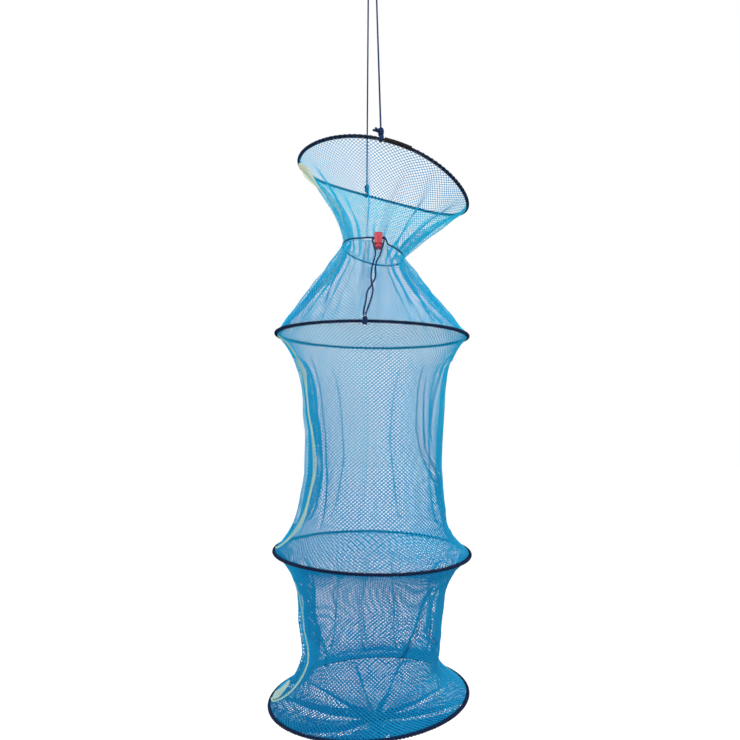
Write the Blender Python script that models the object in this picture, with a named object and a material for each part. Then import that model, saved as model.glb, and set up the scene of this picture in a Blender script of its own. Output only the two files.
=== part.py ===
"""A folding keepnet: a long tube of fine netting on four hoops, closed at the base, that hangs from a cord bail.

The mouth hoop carries the netting. Below it a drawstring with a spring toggle closes the neck, and three
round hoops keep the two compartments open. The netting between them is soft, so the hoops stack for storage.

Metres, +Z up. The origin is the underside of the bail's top bend, where the net hangs. Front is -Y.
Drops and spacings are measured downwards from there. Blender 4.5: blender --background --python part.py
"""

import math

import bmesh
import bpy
from mathutils import Matrix, Vector

# Clearances, and the thickness of the solid that stands for knotted netting
GAP = 0.0003
NET_WALL = 0.0012

# Hoops: plastic-covered wire rods, each bent to a ring
ROD_DIAMETER = 0.0042
HOOP_DIAMETER = 0.350
MOUTH_HOOP_DIAMETER = 0.324
MOUTH_LIFT = 0.012  # the bail's pull bends the mouth hoop up by this much at its front and back
MOUTH_OFFSET = 0.0237  # the mouth hoop hangs this far to the right of the hang point
BOTTOM_OFFSET = -0.006
ROD_END_GAP = 0.002  # between the mouth rod's two ends, inside their sleeve

# Sleeve that joins the mouth rod's ends
SLEEVE_LENGTH = 0.046
SLEEVE_WALL = 0.0014

# Hem: netting folded over a rod and sewn, open towards the bag
HEM_WALL = 0.0011
HEM_SLIT_DEGREES = 70.0

# Lashing: the cord wound round the mouth hoop that holds the netting's edge to it
LASHING_DIAMETER = 0.0016
LASHING_TURNS_EACH_SIDE = 18
LASHING_POINTS_A_TURN = 6
LASHING_TO_HITCH = 0.010
LASHING_TO_SLEEVE = 0.003

# Drops and spacings, from the hang point down
BAIL_DROP = 0.455
MOUTH_TO_NECK = 0.137
NECK_TO_UPPER = 0.157
UPPER_TO_MIDDLE = 0.387
MIDDLE_TO_BOTTOM = 0.251
BASE_SAG = 0.046

# Tilts in degrees: positive drops the right side, or raises the back
MOUTH_TILTS = (15.2, 1.5)
NECK_TILTS = (12.8, -5.0)
UPPER_TILTS = (1.0, -1.4)
MIDDLE_TILTS = (1.0, 0.4)
BOTTOM_TILTS = (-3.6, -0.7)

# Neck: the netting drawn in by its cord
NECK_WIDTH = 0.116
NECK_DEPTH = 0.136
NECK_OFFSET = 0.0025
NECK_PLEAT_DEPTH = 0.0022

# Bags: how far the netting pulls in between two hoops, and its long soft folds
UPPER_WAIST = 0.051
LOWER_WAIST = 0.052
BAG_FOLDS = 5
BAG_FOLD_DEPTH = 0.0055
BAG_FOLD_FRONT_SHARE = 0.3  # of that depth, at the front and back, where the netting hangs flat
BASE_PLEAT_DEPTH = 0.004

# Base gather: the netting's end drawn together and tied
GATHER_DIAMETER = 0.018
GATHER_TAIL = 0.014
GATHER_OFFSET = 0.009
BASE_HANG = 0.010  # how far the base's netting hangs below the straight line to its gather
BASE_TIE_DIAMETER = 0.0025
BASE_LOOP_LENGTH = 0.016

# Bail: one cord from the front of the mouth hoop, over the hang point, to the back
BAIL_CORD_DIAMETER = 0.003
BAIL_BEND_RADIUS = 0.0062
HITCH_RADIUS = 0.0047
BAIL_KNOT_LENGTH = 0.017
BAIL_KNOT_DIAMETER = 0.0105
BAIL_KNOT_TAPER = 0.62  # of its diameter, at the hoop
STUB_LENGTH = 0.010
FRONT_HITCH_DEGREES = -94.1
BACK_HITCH_DEGREES = 104.0

# Drawstring and its toggle
DRAWSTRING_DIAMETER = 0.0028
TOGGLE_WIDTH = 0.014
TOGGLE_DEPTH = 0.013
TOGGLE_ABOVE_HOLE = 0.009
TOGGLE_BELOW_HOLE = 0.013
TOGGLE_WALL = 0.0017
TOGGLE_ROUNDING = 0.0022
TOGGLE_OFFSET = 0.011  # its place to the right of the hang point
TOGGLE_STANDOFF = 0.016  # how far its hole stands in front of the neck
TOGGLE_DROP = 0.001  # and how far below the neck's front
TOGGLE_LEAN_DEGREES = 15.0
TOGGLE_SLOT = 0.0014
PLUNGER_TRAVEL = 0.002
PLUNGER_CAP_HEIGHT = 0.005
PLUNGER_BRIDGE = 0.0013
PLUNGER_NOTCH = 0.0018
SPRING_WIRE = 0.0006
SPRING_TURNS = 3
LOOP_STOP = 0.0008  # the drawstring's loop stops this far from the toggle's sides
LEFT_RUN = 0.0085  # and runs straight towards them for this long
RIGHT_RUN = 0.0035
LOOP_OPENING_DEGREES = 52.0  # of the loop's round part, where its ends leave it for the toggle
TAIL_STANDOFF = 0.004  # how far in front of the toggle's line the tails hang
TAIL_SWAY = 0.001  # one step sideways or outwards in the tails' routes
TAIL_KNOT_OFFSET = -0.0115
TAIL_KNOT_WIDTH = 0.009
TAIL_KNOT_HEIGHT = 0.016

# Side seam: the thread that closes the tube of netting down its left side
SEAM_DIAMETER = 0.0016
SEAM_SIDE = math.pi
SEAM_INSET = 0.5  # of its first and last stretch, short of the netting's edges

# Netting: a plain grid of flat bars stands for the fine mesh
NET_BAR = 0.005
NET_COLUMNS = 20
NECK_ROWS = 3
UPPER_ROWS = 7
LOWER_ROWS = 5

# How finely the round forms are divided
RING_POINTS = 40

FRONT = math.radians(-90.0)
ROD_RADIUS = ROD_DIAMETER / 2
HEM_RADIUS = ROD_RADIUS + GAP + HEM_WALL


def material(name, colour, roughness, metallic=0.0):
    """A Principled material."""
    made = bpy.data.materials.new(name)
    made.use_nodes = True
    shader = made.node_tree.nodes["Principled BSDF"]
    shader.inputs["Base Color"].default_value = (*colour, 1.0)
    shader.inputs["Roughness"].default_value = roughness
    shader.inputs["Metallic"].default_value = metallic
    return made


def clear_scene():
    """Removes whatever objects the scene holds."""
    for old in list(bpy.data.objects):
        bpy.data.objects.remove(old, do_unlink=True)


def place(name, data, finish, parent=None):
    """Makes an object of the data, dresses it and puts it in the scene."""
    made = bpy.data.objects.new(name, data)
    if not data.materials:
        data.materials.append(finish)
    bpy.context.scene.collection.objects.link(made)
    made.parent = parent
    return made


class Ring:
    """An oval or saddle-bent ring: its centre, its two diameters, its tilts and its lift."""

    def __init__(self, offset, drop, width, depth, tilts, lift=0.0):
        self.half_width = width / 2
        self.half_depth = depth / 2
        self.lift = lift
        right, back = (math.radians(tilt) for tilt in tilts)
        turned = Matrix.Rotation(right, 4, "Y") @ Matrix.Rotation(back, 4, "X")
        self.matrix = Matrix.Translation((offset, 0.0, -drop)) @ turned

    def at(self, turn, outward=0.0, upward=0.0):
        """The point at an angle round the ring, moved outwards and upwards."""
        across = (self.half_width + outward) * math.cos(turn)
        along = (self.half_depth + outward) * math.sin(turn)
        return self.matrix @ Vector((across, along, upward - self.lift * math.cos(2 * turn)))

    def radius_mean(self):
        """The mean of its two radii."""
        return (self.half_width + self.half_depth) / 2


NECK_DROP = BAIL_DROP + MOUTH_TO_NECK
UPPER_DROP = NECK_DROP + NECK_TO_UPPER
MIDDLE_DROP = UPPER_DROP + UPPER_TO_MIDDLE
BOTTOM_DROP = MIDDLE_DROP + MIDDLE_TO_BOTTOM
MOUTH = Ring(MOUTH_OFFSET, BAIL_DROP, MOUTH_HOOP_DIAMETER, MOUTH_HOOP_DIAMETER, MOUTH_TILTS, MOUTH_LIFT)
NECK = Ring(NECK_OFFSET, NECK_DROP, NECK_WIDTH, NECK_DEPTH, NECK_TILTS)
UPPER = Ring(0.0, UPPER_DROP, HOOP_DIAMETER, HOOP_DIAMETER, UPPER_TILTS)
MIDDLE = Ring(0.0, MIDDLE_DROP, HOOP_DIAMETER, HOOP_DIAMETER, MIDDLE_TILTS)
BOTTOM = Ring(BOTTOM_OFFSET, BOTTOM_DROP, HOOP_DIAMETER, HOOP_DIAMETER, BOTTOM_TILTS)
FRONT_HITCH = MOUTH.at(math.radians(FRONT_HITCH_DEGREES))
BACK_HITCH = MOUTH.at(math.radians(BACK_HITCH_DEGREES))


def turns_between(start, end, steps):
    """Evenly spaced values from start to end, both included."""
    return [start + (end - start) * step / steps for step in range(steps + 1)]


def smooth(points, steps):
    """A smooth curve through the points, with so many steps between each two."""
    made = []
    padded = [2 * points[0] - points[1], *points, 2 * points[-1] - points[-2]]
    for before, start, end, after in zip(padded, padded[1:], padded[2:], padded[3:]):
        for step in range(steps):
            t = step / steps
            made.append(
                0.5
                * (
                    2 * start
                    + (end - before) * t
                    + (2 * before - 5 * start + 4 * end - after) * t**2
                    + (3 * start - before - 3 * end + after) * t**3
                )
            )
    return [*made, points[-1]]


def tube(name, points, diameter, finish, closed=False, sides=8):
    """A round tube along the points, with filled caps unless it closes on itself."""
    curve = bpy.data.curves.new(name, "CURVE")
    curve.dimensions = "3D"
    curve.bevel_depth = diameter / 2
    curve.bevel_resolution = (sides - 4) // 2
    curve.use_fill_caps = not closed
    spline = curve.splines.new("POLY")
    spline.points.add(len(points) - 1)
    for place_on, point in zip(spline.points, points):
        place_on.co = (*point, 1.0)
    spline.use_cyclic_u = closed
    return place(name, curve, finish)


def as_mesh(curve_object):
    """A tube's curve made a mesh, which a Boolean needs, under the same name."""
    name = curve_object.name
    finish = curve_object.data.materials[0]
    mesh = bpy.data.meshes.new_from_object(curve_object)
    bpy.data.objects.remove(curve_object, do_unlink=True)
    return place(name, mesh, finish)


def least_gap(points, diameter, apart):
    """The least gap between a wound tube's own turns: points closer along it than apart don't count."""
    found = min(
        (first - second).length
        for index, first in enumerate(points)
        for second in points[index + apart :]
    )
    return found - diameter


def loft(name, rows, finish, wall=0.0, close_rows=False):
    """A skin over rows of points, each row a closed loop. A wall gives an open skin its thickness."""
    bm = bmesh.new()
    lines = [[bm.verts.new(point) for point in row] for row in rows]
    pairs = list(zip(lines, lines[1:]))
    if close_rows:
        pairs.append((lines[-1], lines[0]))
    for upper, lower in pairs:
        for index, corner in enumerate(upper):
            after = (index + 1) % len(upper)
            bm.faces.new((corner, upper[after], lower[after], lower[index]))
    bmesh.ops.recalc_face_normals(bm, faces=bm.faces)
    made = finish_mesh(name, bm, finish)
    if wall:
        solid = made.modifiers.new("Wall", "SOLIDIFY")
        solid.thickness = wall
        solid.offset = 0.0
        solid.use_even_offset = False
    return made


def net(name, rows, finish):
    """A plain net over rows of points from the top down, each row a closed loop: a flat bar along every edge."""
    bm = bmesh.new()
    count = len(rows[0])
    outer, inner = [], []
    for row, above, below in zip(rows, [rows[0], *rows], [*rows[1:], rows[-1]]):
        outer.append([])
        inner.append([])
        for index, point in enumerate(row):
            across = row[(index + 1) % count] - row[index - 1]
            half_wall = across.cross(above[index] - below[index]).normalized() * (NET_WALL / 2)
            outer[-1].append(bm.verts.new(point + half_wall))
            inner[-1].append(bm.verts.new(point - half_wall))
    for level in range(len(rows) - 1):
        for index in range(count):
            corners = [(level, index), (level, (index + 1) % count)]
            corners += [(level + 1, (index + 1) % count), (level + 1, index)]
            places = [rows[row][column] for row, column in corners]
            opening = []
            for step, place_on in enumerate(places):
                ahead = (places[(step + 1) % 4] - place_on).normalized()
                behind = (places[step - 1] - place_on).normalized()
                opening.append(bm.verts.new(place_on + (ahead + behind) * (NET_BAR / 2)))
            for step, (row, column) in enumerate(corners):
                next_row, next_column = corners[(step + 1) % 4]
                edge = (opening[step], opening[(step + 1) % 4])
                bm.faces.new((outer[row][column], outer[next_row][next_column], edge[1], edge[0]))
                bm.faces.new((inner[next_row][next_column], inner[row][column], edge[0], edge[1]))
    for row in (0, -1):
        for index in range(count):
            after = (index + 1) % count
            bm.faces.new((outer[row][index], outer[row][after], inner[row][after], inner[row][index]))
    bmesh.ops.recalc_face_normals(bm, faces=bm.faces)
    return finish_mesh(name, bm, finish)


def finish_mesh(name, bm, finish, matrix=None):
    """Turns a bmesh into an object with smooth shading and sharp creases, placed by the matrix."""
    mesh = bpy.data.meshes.new(name)
    bm.to_mesh(mesh)
    bm.free()
    mesh.shade_smooth()
    mesh.set_sharp_from_angle(angle=math.radians(40.0))
    made = place(name, mesh, finish)
    if matrix is not None:
        made.matrix_world = matrix
    return made


def rounded_block(name, size, low_z, rounding, finish, matrix):
    """A block centred on the local Z axis with rounded edges, standing on low_z."""
    bm = bmesh.new()
    bmesh.ops.create_cube(bm, size=1.0)
    for corner in bm.verts:
        corner.co.x *= size[0]
        corner.co.y *= size[1]
        corner.co.z = low_z + (corner.co.z + 0.5) * size[2]
    if rounding:
        bmesh.ops.bevel(bm, geom=bm.edges[:], offset=rounding, segments=3, profile=0.5, affect="EDGES")
    return finish_mesh(name, bm, finish, matrix)


def boolean(target, cutter, operation):
    """Cuts or joins another closed shape, which the build leaves out."""
    cutter.hide_render = True
    cutter.display_type = "WIRE"
    step = target.modifiers.new(cutter.name, "BOOLEAN")
    step.operation = operation
    step.solver = "EXACT"
    step.object = cutter


def lump(bm, centre, radii, ridges, axis_matrix, columns=14, rows=10):
    """Adds a knot's body to a bmesh: an egg with cord-like ridges round its long axis."""
    lines = []
    for row in range(1, rows):
        lean = math.pi * row / rows
        ridge = 1.0 - 0.09 * (0.5 + 0.5 * math.cos(2 * math.pi * ridges * row / rows))
        lines.append(
            [
                bm.verts.new(
                    centre
                    + axis_matrix
                    @ Vector(
                        (
                            radii[0] * ridge * math.sin(lean) * math.cos(turn),
                            radii[1] * ridge * math.sin(lean) * math.sin(turn),
                            radii[2] * math.cos(lean),
                        )
                    )
                )
                for turn in turns_between(0.0, 2 * math.pi, columns)[:-1]
            ]
        )
    top = bm.verts.new(centre + axis_matrix @ Vector((0.0, 0.0, radii[2])))
    bottom = bm.verts.new(centre - axis_matrix @ Vector((0.0, 0.0, radii[2])))
    for index in range(columns):
        after = (index + 1) % columns
        bm.faces.new((top, lines[0][index], lines[0][after]))
        bm.faces.new((bottom, lines[-1][after], lines[-1][index]))
        for upper, lower in zip(lines, lines[1:]):
            bm.faces.new((upper[index], lower[index], lower[after], upper[after]))
    bmesh.ops.recalc_face_normals(bm, faces=bm.faces)


def along(direction):
    """The rotation that takes local Z to a direction."""
    return direction.to_track_quat("Z", "Y").to_matrix()


def make_bail(cord):
    """The bail cord, its bend over the hang point, and the knots that tie its ends above the hoop."""
    bend_centre = Vector((0.0, 0.0, BAIL_CORD_DIAMETER / 2 - BAIL_BEND_RADIUS))
    bend = [
        bend_centre + BAIL_BEND_RADIUS * Vector((math.cos(turn), 0.0, math.sin(turn)))
        for turn in turns_between(0.0, math.pi, 8)
    ]
    shoulders = {"front": bend[0], "back": bend[-1]}
    hitches = {"front": FRONT_HITCH, "back": BACK_HITCH}
    runs = {}
    for side, hitch in hitches.items():
        up = (shoulders[side] - hitch).normalized()
        knot_low = hitch + up * (HITCH_RADIUS + GAP)
        knot_high = knot_low + up * BAIL_KNOT_LENGTH
        make_bail_knot(f"{side}_bail_knot", knot_low, up, side == "front", cord)
        runs[side] = [
            (knot_high + up * GAP).lerp(shoulders[side], step / 24) for step in range(24)
        ]
    points = [*runs["front"], *bend, *reversed(runs["back"])]
    tube("bail_cord", points, BAIL_CORD_DIAMETER, cord)


def make_bail_knot(name, low, up, with_stubs, cord):
    """A knot that tapers towards the hoop, with the two cut ends of the cord where they show."""
    bm = bmesh.new()
    half = BAIL_KNOT_LENGTH / 2
    round_half = BAIL_KNOT_DIAMETER / 2
    lump(bm, low + up * half, (round_half, round_half, half), 3, along(up))
    for corner in bm.verts:
        share = (corner.co - low).dot(up) / BAIL_KNOT_LENGTH
        axis_point = low + up * (corner.co - low).dot(up)
        swell = BAIL_KNOT_TAPER + (1.0 - BAIL_KNOT_TAPER) * min(1.0, 1.6 * share)
        corner.co = axis_point + (corner.co - axis_point) * swell
    knot = finish_mesh(name, bm, cord)
    if with_stubs:
        for number, sideways in enumerate((-0.75, -0.35)):
            way = Vector((sideways, -0.78, 0.35)).normalized()
            root = low + up * half
            stub = tube(
                f"{name}_stub_{number}",
                [root, root + way * (round_half + STUB_LENGTH)],
                BAIL_CORD_DIAMETER,
                cord,
            )
            boolean(knot, as_mesh(stub), "UNION")


def make_hitch(name, centre, turn, cord):
    """The round hitch that grips the mouth rod under a bail knot, bored for the rod."""
    bm = bmesh.new()
    tangent = (MOUTH.at(turn + 0.01) - MOUTH.at(turn - 0.01)).normalized()
    lump(bm, centre, (HITCH_RADIUS,) * 3, 0, along(tangent), columns=14, rows=8)
    hitch = finish_mesh(name, bm, cord)
    bore = tube(
        f"{name}_bore",
        [MOUTH.at(bend) for bend in bore_turns(turn)],
        ROD_DIAMETER + 2 * GAP,
        cord,
        sides=12,
    )
    boolean(hitch, as_mesh(bore), "DIFFERENCE")


def sleeve_turns():
    """The angles of the sleeve's own points, from just to the right of the front hitch."""
    start = math.radians(FRONT_HITCH_DEGREES) + 1.25 * HITCH_RADIUS / MOUTH.radius_mean()
    return turns_between(start, start + SLEEVE_LENGTH / MOUTH.radius_mean(), 6)


def bore_turns(turn):
    """The angles at which the rod bends where a hitch grips it."""
    reach = 1.25 * HITCH_RADIUS / MOUTH.radius_mean()
    return [turn - reach, turn, turn + reach]


def mouth_rod_turns():
    """The angles of the mouth rod's points, which its sleeve and hitches share, so that they stay concentric."""
    sleeve = sleeve_turns()
    half_gap = ROD_END_GAP / 2 / MOUTH.radius_mean()
    middle = len(sleeve) // 2
    first, last = sleeve[middle] + half_gap, sleeve[middle] - half_gap + 2 * math.pi
    shared = [*sleeve[middle + 1 :], *(turn + 2 * math.pi for turn in sleeve[:middle])]
    shared += bore_turns(math.radians(BACK_HITCH_DEGREES))
    shared += [turn + 2 * math.pi for turn in bore_turns(math.radians(FRONT_HITCH_DEGREES))]
    step = 2 * math.pi / RING_POINTS
    even = [
        turn
        for turn in turns_between(first, last, RING_POINTS)[1:-1]
        if all(abs(turn - other) > step / 2 for other in shared)
    ]
    return sorted([first, *shared, *even, last])


def beside_mouth_rod(turn, outward, upward):
    """The point beside the mouth rod at an angle, moved outwards and upwards from the rod's own straight pieces."""
    turns = mouth_rod_turns()
    if turn < turns[0]:
        turn += 2 * math.pi
    before = max((known for known in turns if known <= turn), default=turns[0])
    after = min((known for known in turns if known > turn), default=turns[-1])
    share = (turn - before) / (after - before)
    return MOUTH.at(before, outward, upward).lerp(MOUTH.at(after, outward, upward), share)


def make_mouth(rod, rubber, cord, lashing, netting, thread):
    """The mouth hoop, its sleeve, hitches and lashings, and the funnel of netting under it."""
    tube("mouth_hoop", [MOUTH.at(turn) for turn in mouth_rod_turns()], ROD_DIAMETER, rod)
    make_sleeve(rubber)
    make_hitch("front_hitch", FRONT_HITCH, math.radians(FRONT_HITCH_DEGREES), cord)
    make_hitch("back_hitch", BACK_HITCH, math.radians(BACK_HITCH_DEGREES), cord)
    keep_off = (HITCH_RADIUS + LASHING_TO_HITCH) / MOUTH.radius_mean()
    back = math.radians(BACK_HITCH_DEGREES)
    front = math.radians(FRONT_HITCH_DEGREES) + 2 * math.pi
    after_sleeve = sleeve_turns()[-1] + LASHING_TO_SLEEVE / MOUTH.radius_mean()
    make_lashing("right_lashing", after_sleeve, back - keep_off, lashing)
    make_lashing("left_lashing", back + keep_off, front - keep_off, lashing)
    seat = max(HITCH_RADIUS, lashing_radius() + LASHING_DIAMETER / 2) + GAP + NET_WALL / 2
    funnel = Netting(
        lambda turn: MOUTH.at(turn, -0.45 * seat, -0.89 * seat),
        lambda turn: NECK.at(turn, 0.0, neck_seat()),
        narrowing=lambda turn: 1.35 - 0.25 * math.cos(turn),
        folds=lambda turn, t: neck_pleats(turn, 1.0 - t),
    )
    funnel.build("mouth_netting", NECK_ROWS, netting)
    funnel.build_seam("mouth_seam", NECK_ROWS, thread)


def make_sleeve(rubber):
    """The tube that the mouth rod's two ends are pushed into."""
    line = [MOUTH.at(turn) for turn in sleeve_turns()]
    sleeve = tube("mouth_hoop_sleeve", line, ROD_DIAMETER + 2 * GAP + 2 * SLEEVE_WALL, rubber, sides=12)
    past = [line[0] + (line[0] - line[1]) * 0.2, *line, line[-1] + (line[-1] - line[-2]) * 0.2]
    bore = tube("sleeve_bore", past, ROD_DIAMETER + 2 * GAP, rubber, sides=12)
    boolean(as_mesh(sleeve), as_mesh(bore), "DIFFERENCE")


def lashing_radius():
    """The radius that the lashing's corners lie on, so that the straight pieces between them clear the rod."""
    clear_of_rod = ROD_RADIUS + GAP + LASHING_DIAMETER / 2
    return clear_of_rod / math.cos(math.pi / LASHING_POINTS_A_TURN)


def make_lashing(name, start, end, finish):
    """One run of lashing cord, wound round the mouth rod in even turns."""
    radius = lashing_radius()
    steps = LASHING_TURNS_EACH_SIDE * LASHING_POINTS_A_TURN
    points = []
    for step in range(steps + 1):
        turn = start + (end - start) * step / steps
        winding = 2 * math.pi * step / LASHING_POINTS_A_TURN
        points.append(beside_mouth_rod(turn, radius * math.cos(winding), radius * math.sin(winding)))
    tube(name, points, LASHING_DIAMETER, finish, sides=6)
    gap = least_gap(points, LASHING_DIAMETER, LASHING_POINTS_A_TURN)
    print(f"{name}: least gap to itself {gap * 1000:.2f} mm")


def neck_seat():
    """How far above or below the drawstring's centre the netting's edge lies."""
    return DRAWSTRING_DIAMETER / 2 + GAP + NET_WALL / 2


def hem_lip():
    """The bend round the rod's middle, from its outside, at which a hem stops above and below."""
    return math.pi - math.radians(HEM_SLIT_DEGREES) / 2


def hem_edge(ring, turn, side, room=NET_WALL / 2):
    """Where netting is sewn to a hoop's hem: its upper lip with a side of 1, its lower with -1."""
    return ring.at(turn, *hem_corner(HEM_RADIUS + GAP + room, side * hem_lip()))


def neck_pleats(turn, from_neck):
    """Pleats that start at the drawstring, are deepest close to it and fade out."""
    reach = from_neck / 0.16
    return NECK_PLEAT_DEPTH * reach * math.exp(1.0 - reach) * in_and_out(turn)


def in_and_out(turn):
    """A pleat's swing: out at one of the net's upright bars, in at the next."""
    return math.cos(NET_COLUMNS / 2 * turn)


def bag_folds(turn, t):
    """Long soft folds that run down a bag between two hoops."""
    swell = math.sin(math.pi * t) ** 0.8
    wander = math.sin(BAG_FOLDS * turn + 1.1 * math.sin(2.0 * math.pi * t))
    slack = BAG_FOLD_FRONT_SHARE + (1.0 - BAG_FOLD_FRONT_SHARE) * math.cos(turn) ** 2
    return BAG_FOLD_DEPTH * slack * swell * wander * (0.7 + 0.3 * math.cos(3 * turn + 0.8))


class Netting:
    """A sleeve of netting between two edges, with a waist and folds."""

    def __init__(self, top, bottom, waist=0.0, narrowing=None, folds=None):
        self.top = top
        self.bottom = bottom
        self.waist = waist
        self.narrowing = narrowing or (lambda turn: 1.0)
        self.folds = folds or (lambda turn, t: 0.0)

    def at(self, turn, t, outward=0.0):
        """The point at an angle and a share of the way down, moved outwards."""
        high, low = self.top(turn), self.bottom(turn)
        inwards = 1.0 - (1.0 - t) ** self.narrowing(turn)
        point = high.lerp(low, inwards)
        point.z = high.z + (low.z - high.z) * t
        pull = self.waist * (1.0 - abs(2.0 * t - 1.0) ** 4.0)
        away = Vector((math.cos(turn), math.sin(turn), 0.0))
        return point + away * (outward + self.folds(turn, t) - pull)

    def levels(self, rows):
        """How far down each row lies: a waisted sleeve has them closer near its two edges."""
        even = turns_between(0.0, 1.0, rows)
        return [t / 2 + (1.0 - math.cos(math.pi * t)) / 4 for t in even] if self.waist else even

    def build(self, name, rows, finish):
        """The sleeve's net."""
        turns = turns_between(0.0, 2 * math.pi, NET_COLUMNS)[:-1]
        return net(name, [[self.at(turn, t) for turn in turns] for t in self.levels(rows)], finish)

    def build_seam(self, name, rows, finish):
        """The seam's thread down the outside of the left side, over the same rows."""
        stand_off = NET_WALL / 2 + 2 * GAP + SEAM_DIAMETER / 2
        line = [self.at(SEAM_SIDE, t) for t in self.levels(rows)]
        points = []
        for index, point in enumerate(line):
            run = line[min(index + 1, rows)] - line[max(index - 1, 0)]
            points.append(point + stand_off * Vector((run.z, 0.0, -run.x)).normalized())
        points[0] = points[0].lerp(points[1], SEAM_INSET)
        points[-1] = points[-1].lerp(points[-2], SEAM_INSET)
        return tube(name, points, SEAM_DIAMETER, finish, sides=6)


def hem_corner(radius, bend):
    """A corner of the hem's section, outwards and upwards from the rod's middle."""
    return radius * math.cos(bend), radius * math.sin(bend)


def make_hoop(name, ring, rod, hem):
    """A closed rod and the hem of netting sewn round it, which is open towards the bag."""
    turns = turns_between(0.0, 2 * math.pi, RING_POINTS)[:-1]
    tube(f"{name}_hoop", [ring.at(turn) for turn in turns], ROD_DIAMETER, rod, closed=True, sides=6)
    open_from = hem_lip()
    profile = [hem_corner(HEM_RADIUS, bend) for bend in turns_between(-open_from, open_from, 6)]
    inner = (ROD_RADIUS + GAP) * 1.1
    profile += [hem_corner(inner, bend) for bend in turns_between(open_from, -open_from, 4)]
    rows = [[ring.at(turn, out, up) for out, up in profile] for turn in turns]
    loft(f"{name}_hem", rows, hem, close_rows=True)


def make_neck(cord, netting, thread):
    """The drawstring's loop round the neck, and the netting that widens from it to the upper hoop."""
    frame = toggle_frame()
    lane = lane_offset()
    side = TOGGLE_WIDTH / 2 + 3 * GAP + LOOP_STOP
    right_lead = [frame @ Vector((side + run, lane, 0.0)) for run in (0.0, RIGHT_RUN / 2, RIGHT_RUN)]
    left_lead = [frame @ Vector((-side - run, -lane, 0.0)) for run in (LEFT_RUN, LEFT_RUN / 2, 0.0)]
    half_open = math.radians(LOOP_OPENING_DEGREES) / 2
    start, end = FRONT + half_open, FRONT - half_open + 2 * math.pi
    ring = [NECK.at(turn) for turn in turns_between(start, end, 30)]
    points = [*smooth([*right_lead, ring[0]], 3)[:-1], *ring, *smooth([ring[-1], *left_lead], 3)[1:]]
    tube("neck_drawstring", points, DRAWSTRING_DIAMETER, cord, sides=6)
    cone = Netting(
        lambda turn: NECK.at(turn, 0.0, -neck_seat()),
        lambda turn: hem_edge(UPPER, turn, 1.0, room=0.0),
        folds=neck_pleats,
    )
    cone.build("neck_netting", NECK_ROWS, netting)
    cone.build_seam("neck_seam", NECK_ROWS, thread)


def lane_offset():
    """The two cords lie side by side in the toggle's hole, this far from its middle."""
    return (DRAWSTRING_DIAMETER + GAP) / 2


def hole_depth():
    """The toggle's hole, from its back to its front."""
    return 2 * DRAWSTRING_DIAMETER + 3 * GAP


def hole_height():
    """The toggle's hole, from its bottom to its top."""
    return DRAWSTRING_DIAMETER + 2 * GAP


def toggle_frame():
    """The toggle's own axes at the middle of its hole: X right, Y back towards the net, Z up its barrel."""
    neck_front = NECK.at(FRONT)
    hole = Vector((TOGGLE_OFFSET, neck_front.y - TOGGLE_STANDOFF, neck_front.z - TOGGLE_DROP))
    return Matrix.Translation(hole) @ Matrix.Rotation(math.radians(-TOGGLE_LEAN_DEGREES), 4, "X")


def make_toggle(red, steel):
    """The spring toggle: a barrel with a cross hole, a plunger with two lobes, and the spring between."""
    frame = toggle_frame()
    height = TOGGLE_ABOVE_HOLE + TOGGLE_BELOW_HOLE
    barrel = rounded_block(
        "toggle_barrel", (TOGGLE_WIDTH, TOGGLE_DEPTH, height), -TOGGLE_BELOW_HOLE, TOGGLE_ROUNDING, red, frame
    )
    cavity_size = (TOGGLE_WIDTH - 3.6 * TOGGLE_WALL, TOGGLE_DEPTH - 2 * TOGGLE_WALL)
    cavity_top = TOGGLE_ABOVE_HOLE - TOGGLE_WALL
    below = -TOGGLE_BELOW_HOLE - 2 * GAP
    cavity = rounded_block("toggle_cavity", (*cavity_size, cavity_top - below), below, 0.0, red, frame)
    boolean(barrel, cavity, "DIFFERENCE")
    half_hole = hole_height() / 2
    cross = rounded_block(
        "toggle_hole", (2 * TOGGLE_WIDTH, hole_depth(), 2 * half_hole), -half_hole, 0.0, red, frame
    )
    boolean(barrel, cross, "DIFFERENCE")
    slot_matrix = frame @ Matrix.Translation((0.0, -TOGGLE_DEPTH / 2, 0.0))
    slot = rounded_block(
        "toggle_slot", (TOGGLE_SLOT, 3 * TOGGLE_WALL, half_hole - below), below, 0.0, red, slot_matrix
    )
    boolean(barrel, slot, "DIFFERENCE")
    stem_top = half_hole + PLUNGER_BRIDGE
    make_plunger(frame, cavity_size, stem_top, red)
    make_spring(frame, stem_top, cavity_top, cavity_size[0], steel)


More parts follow.
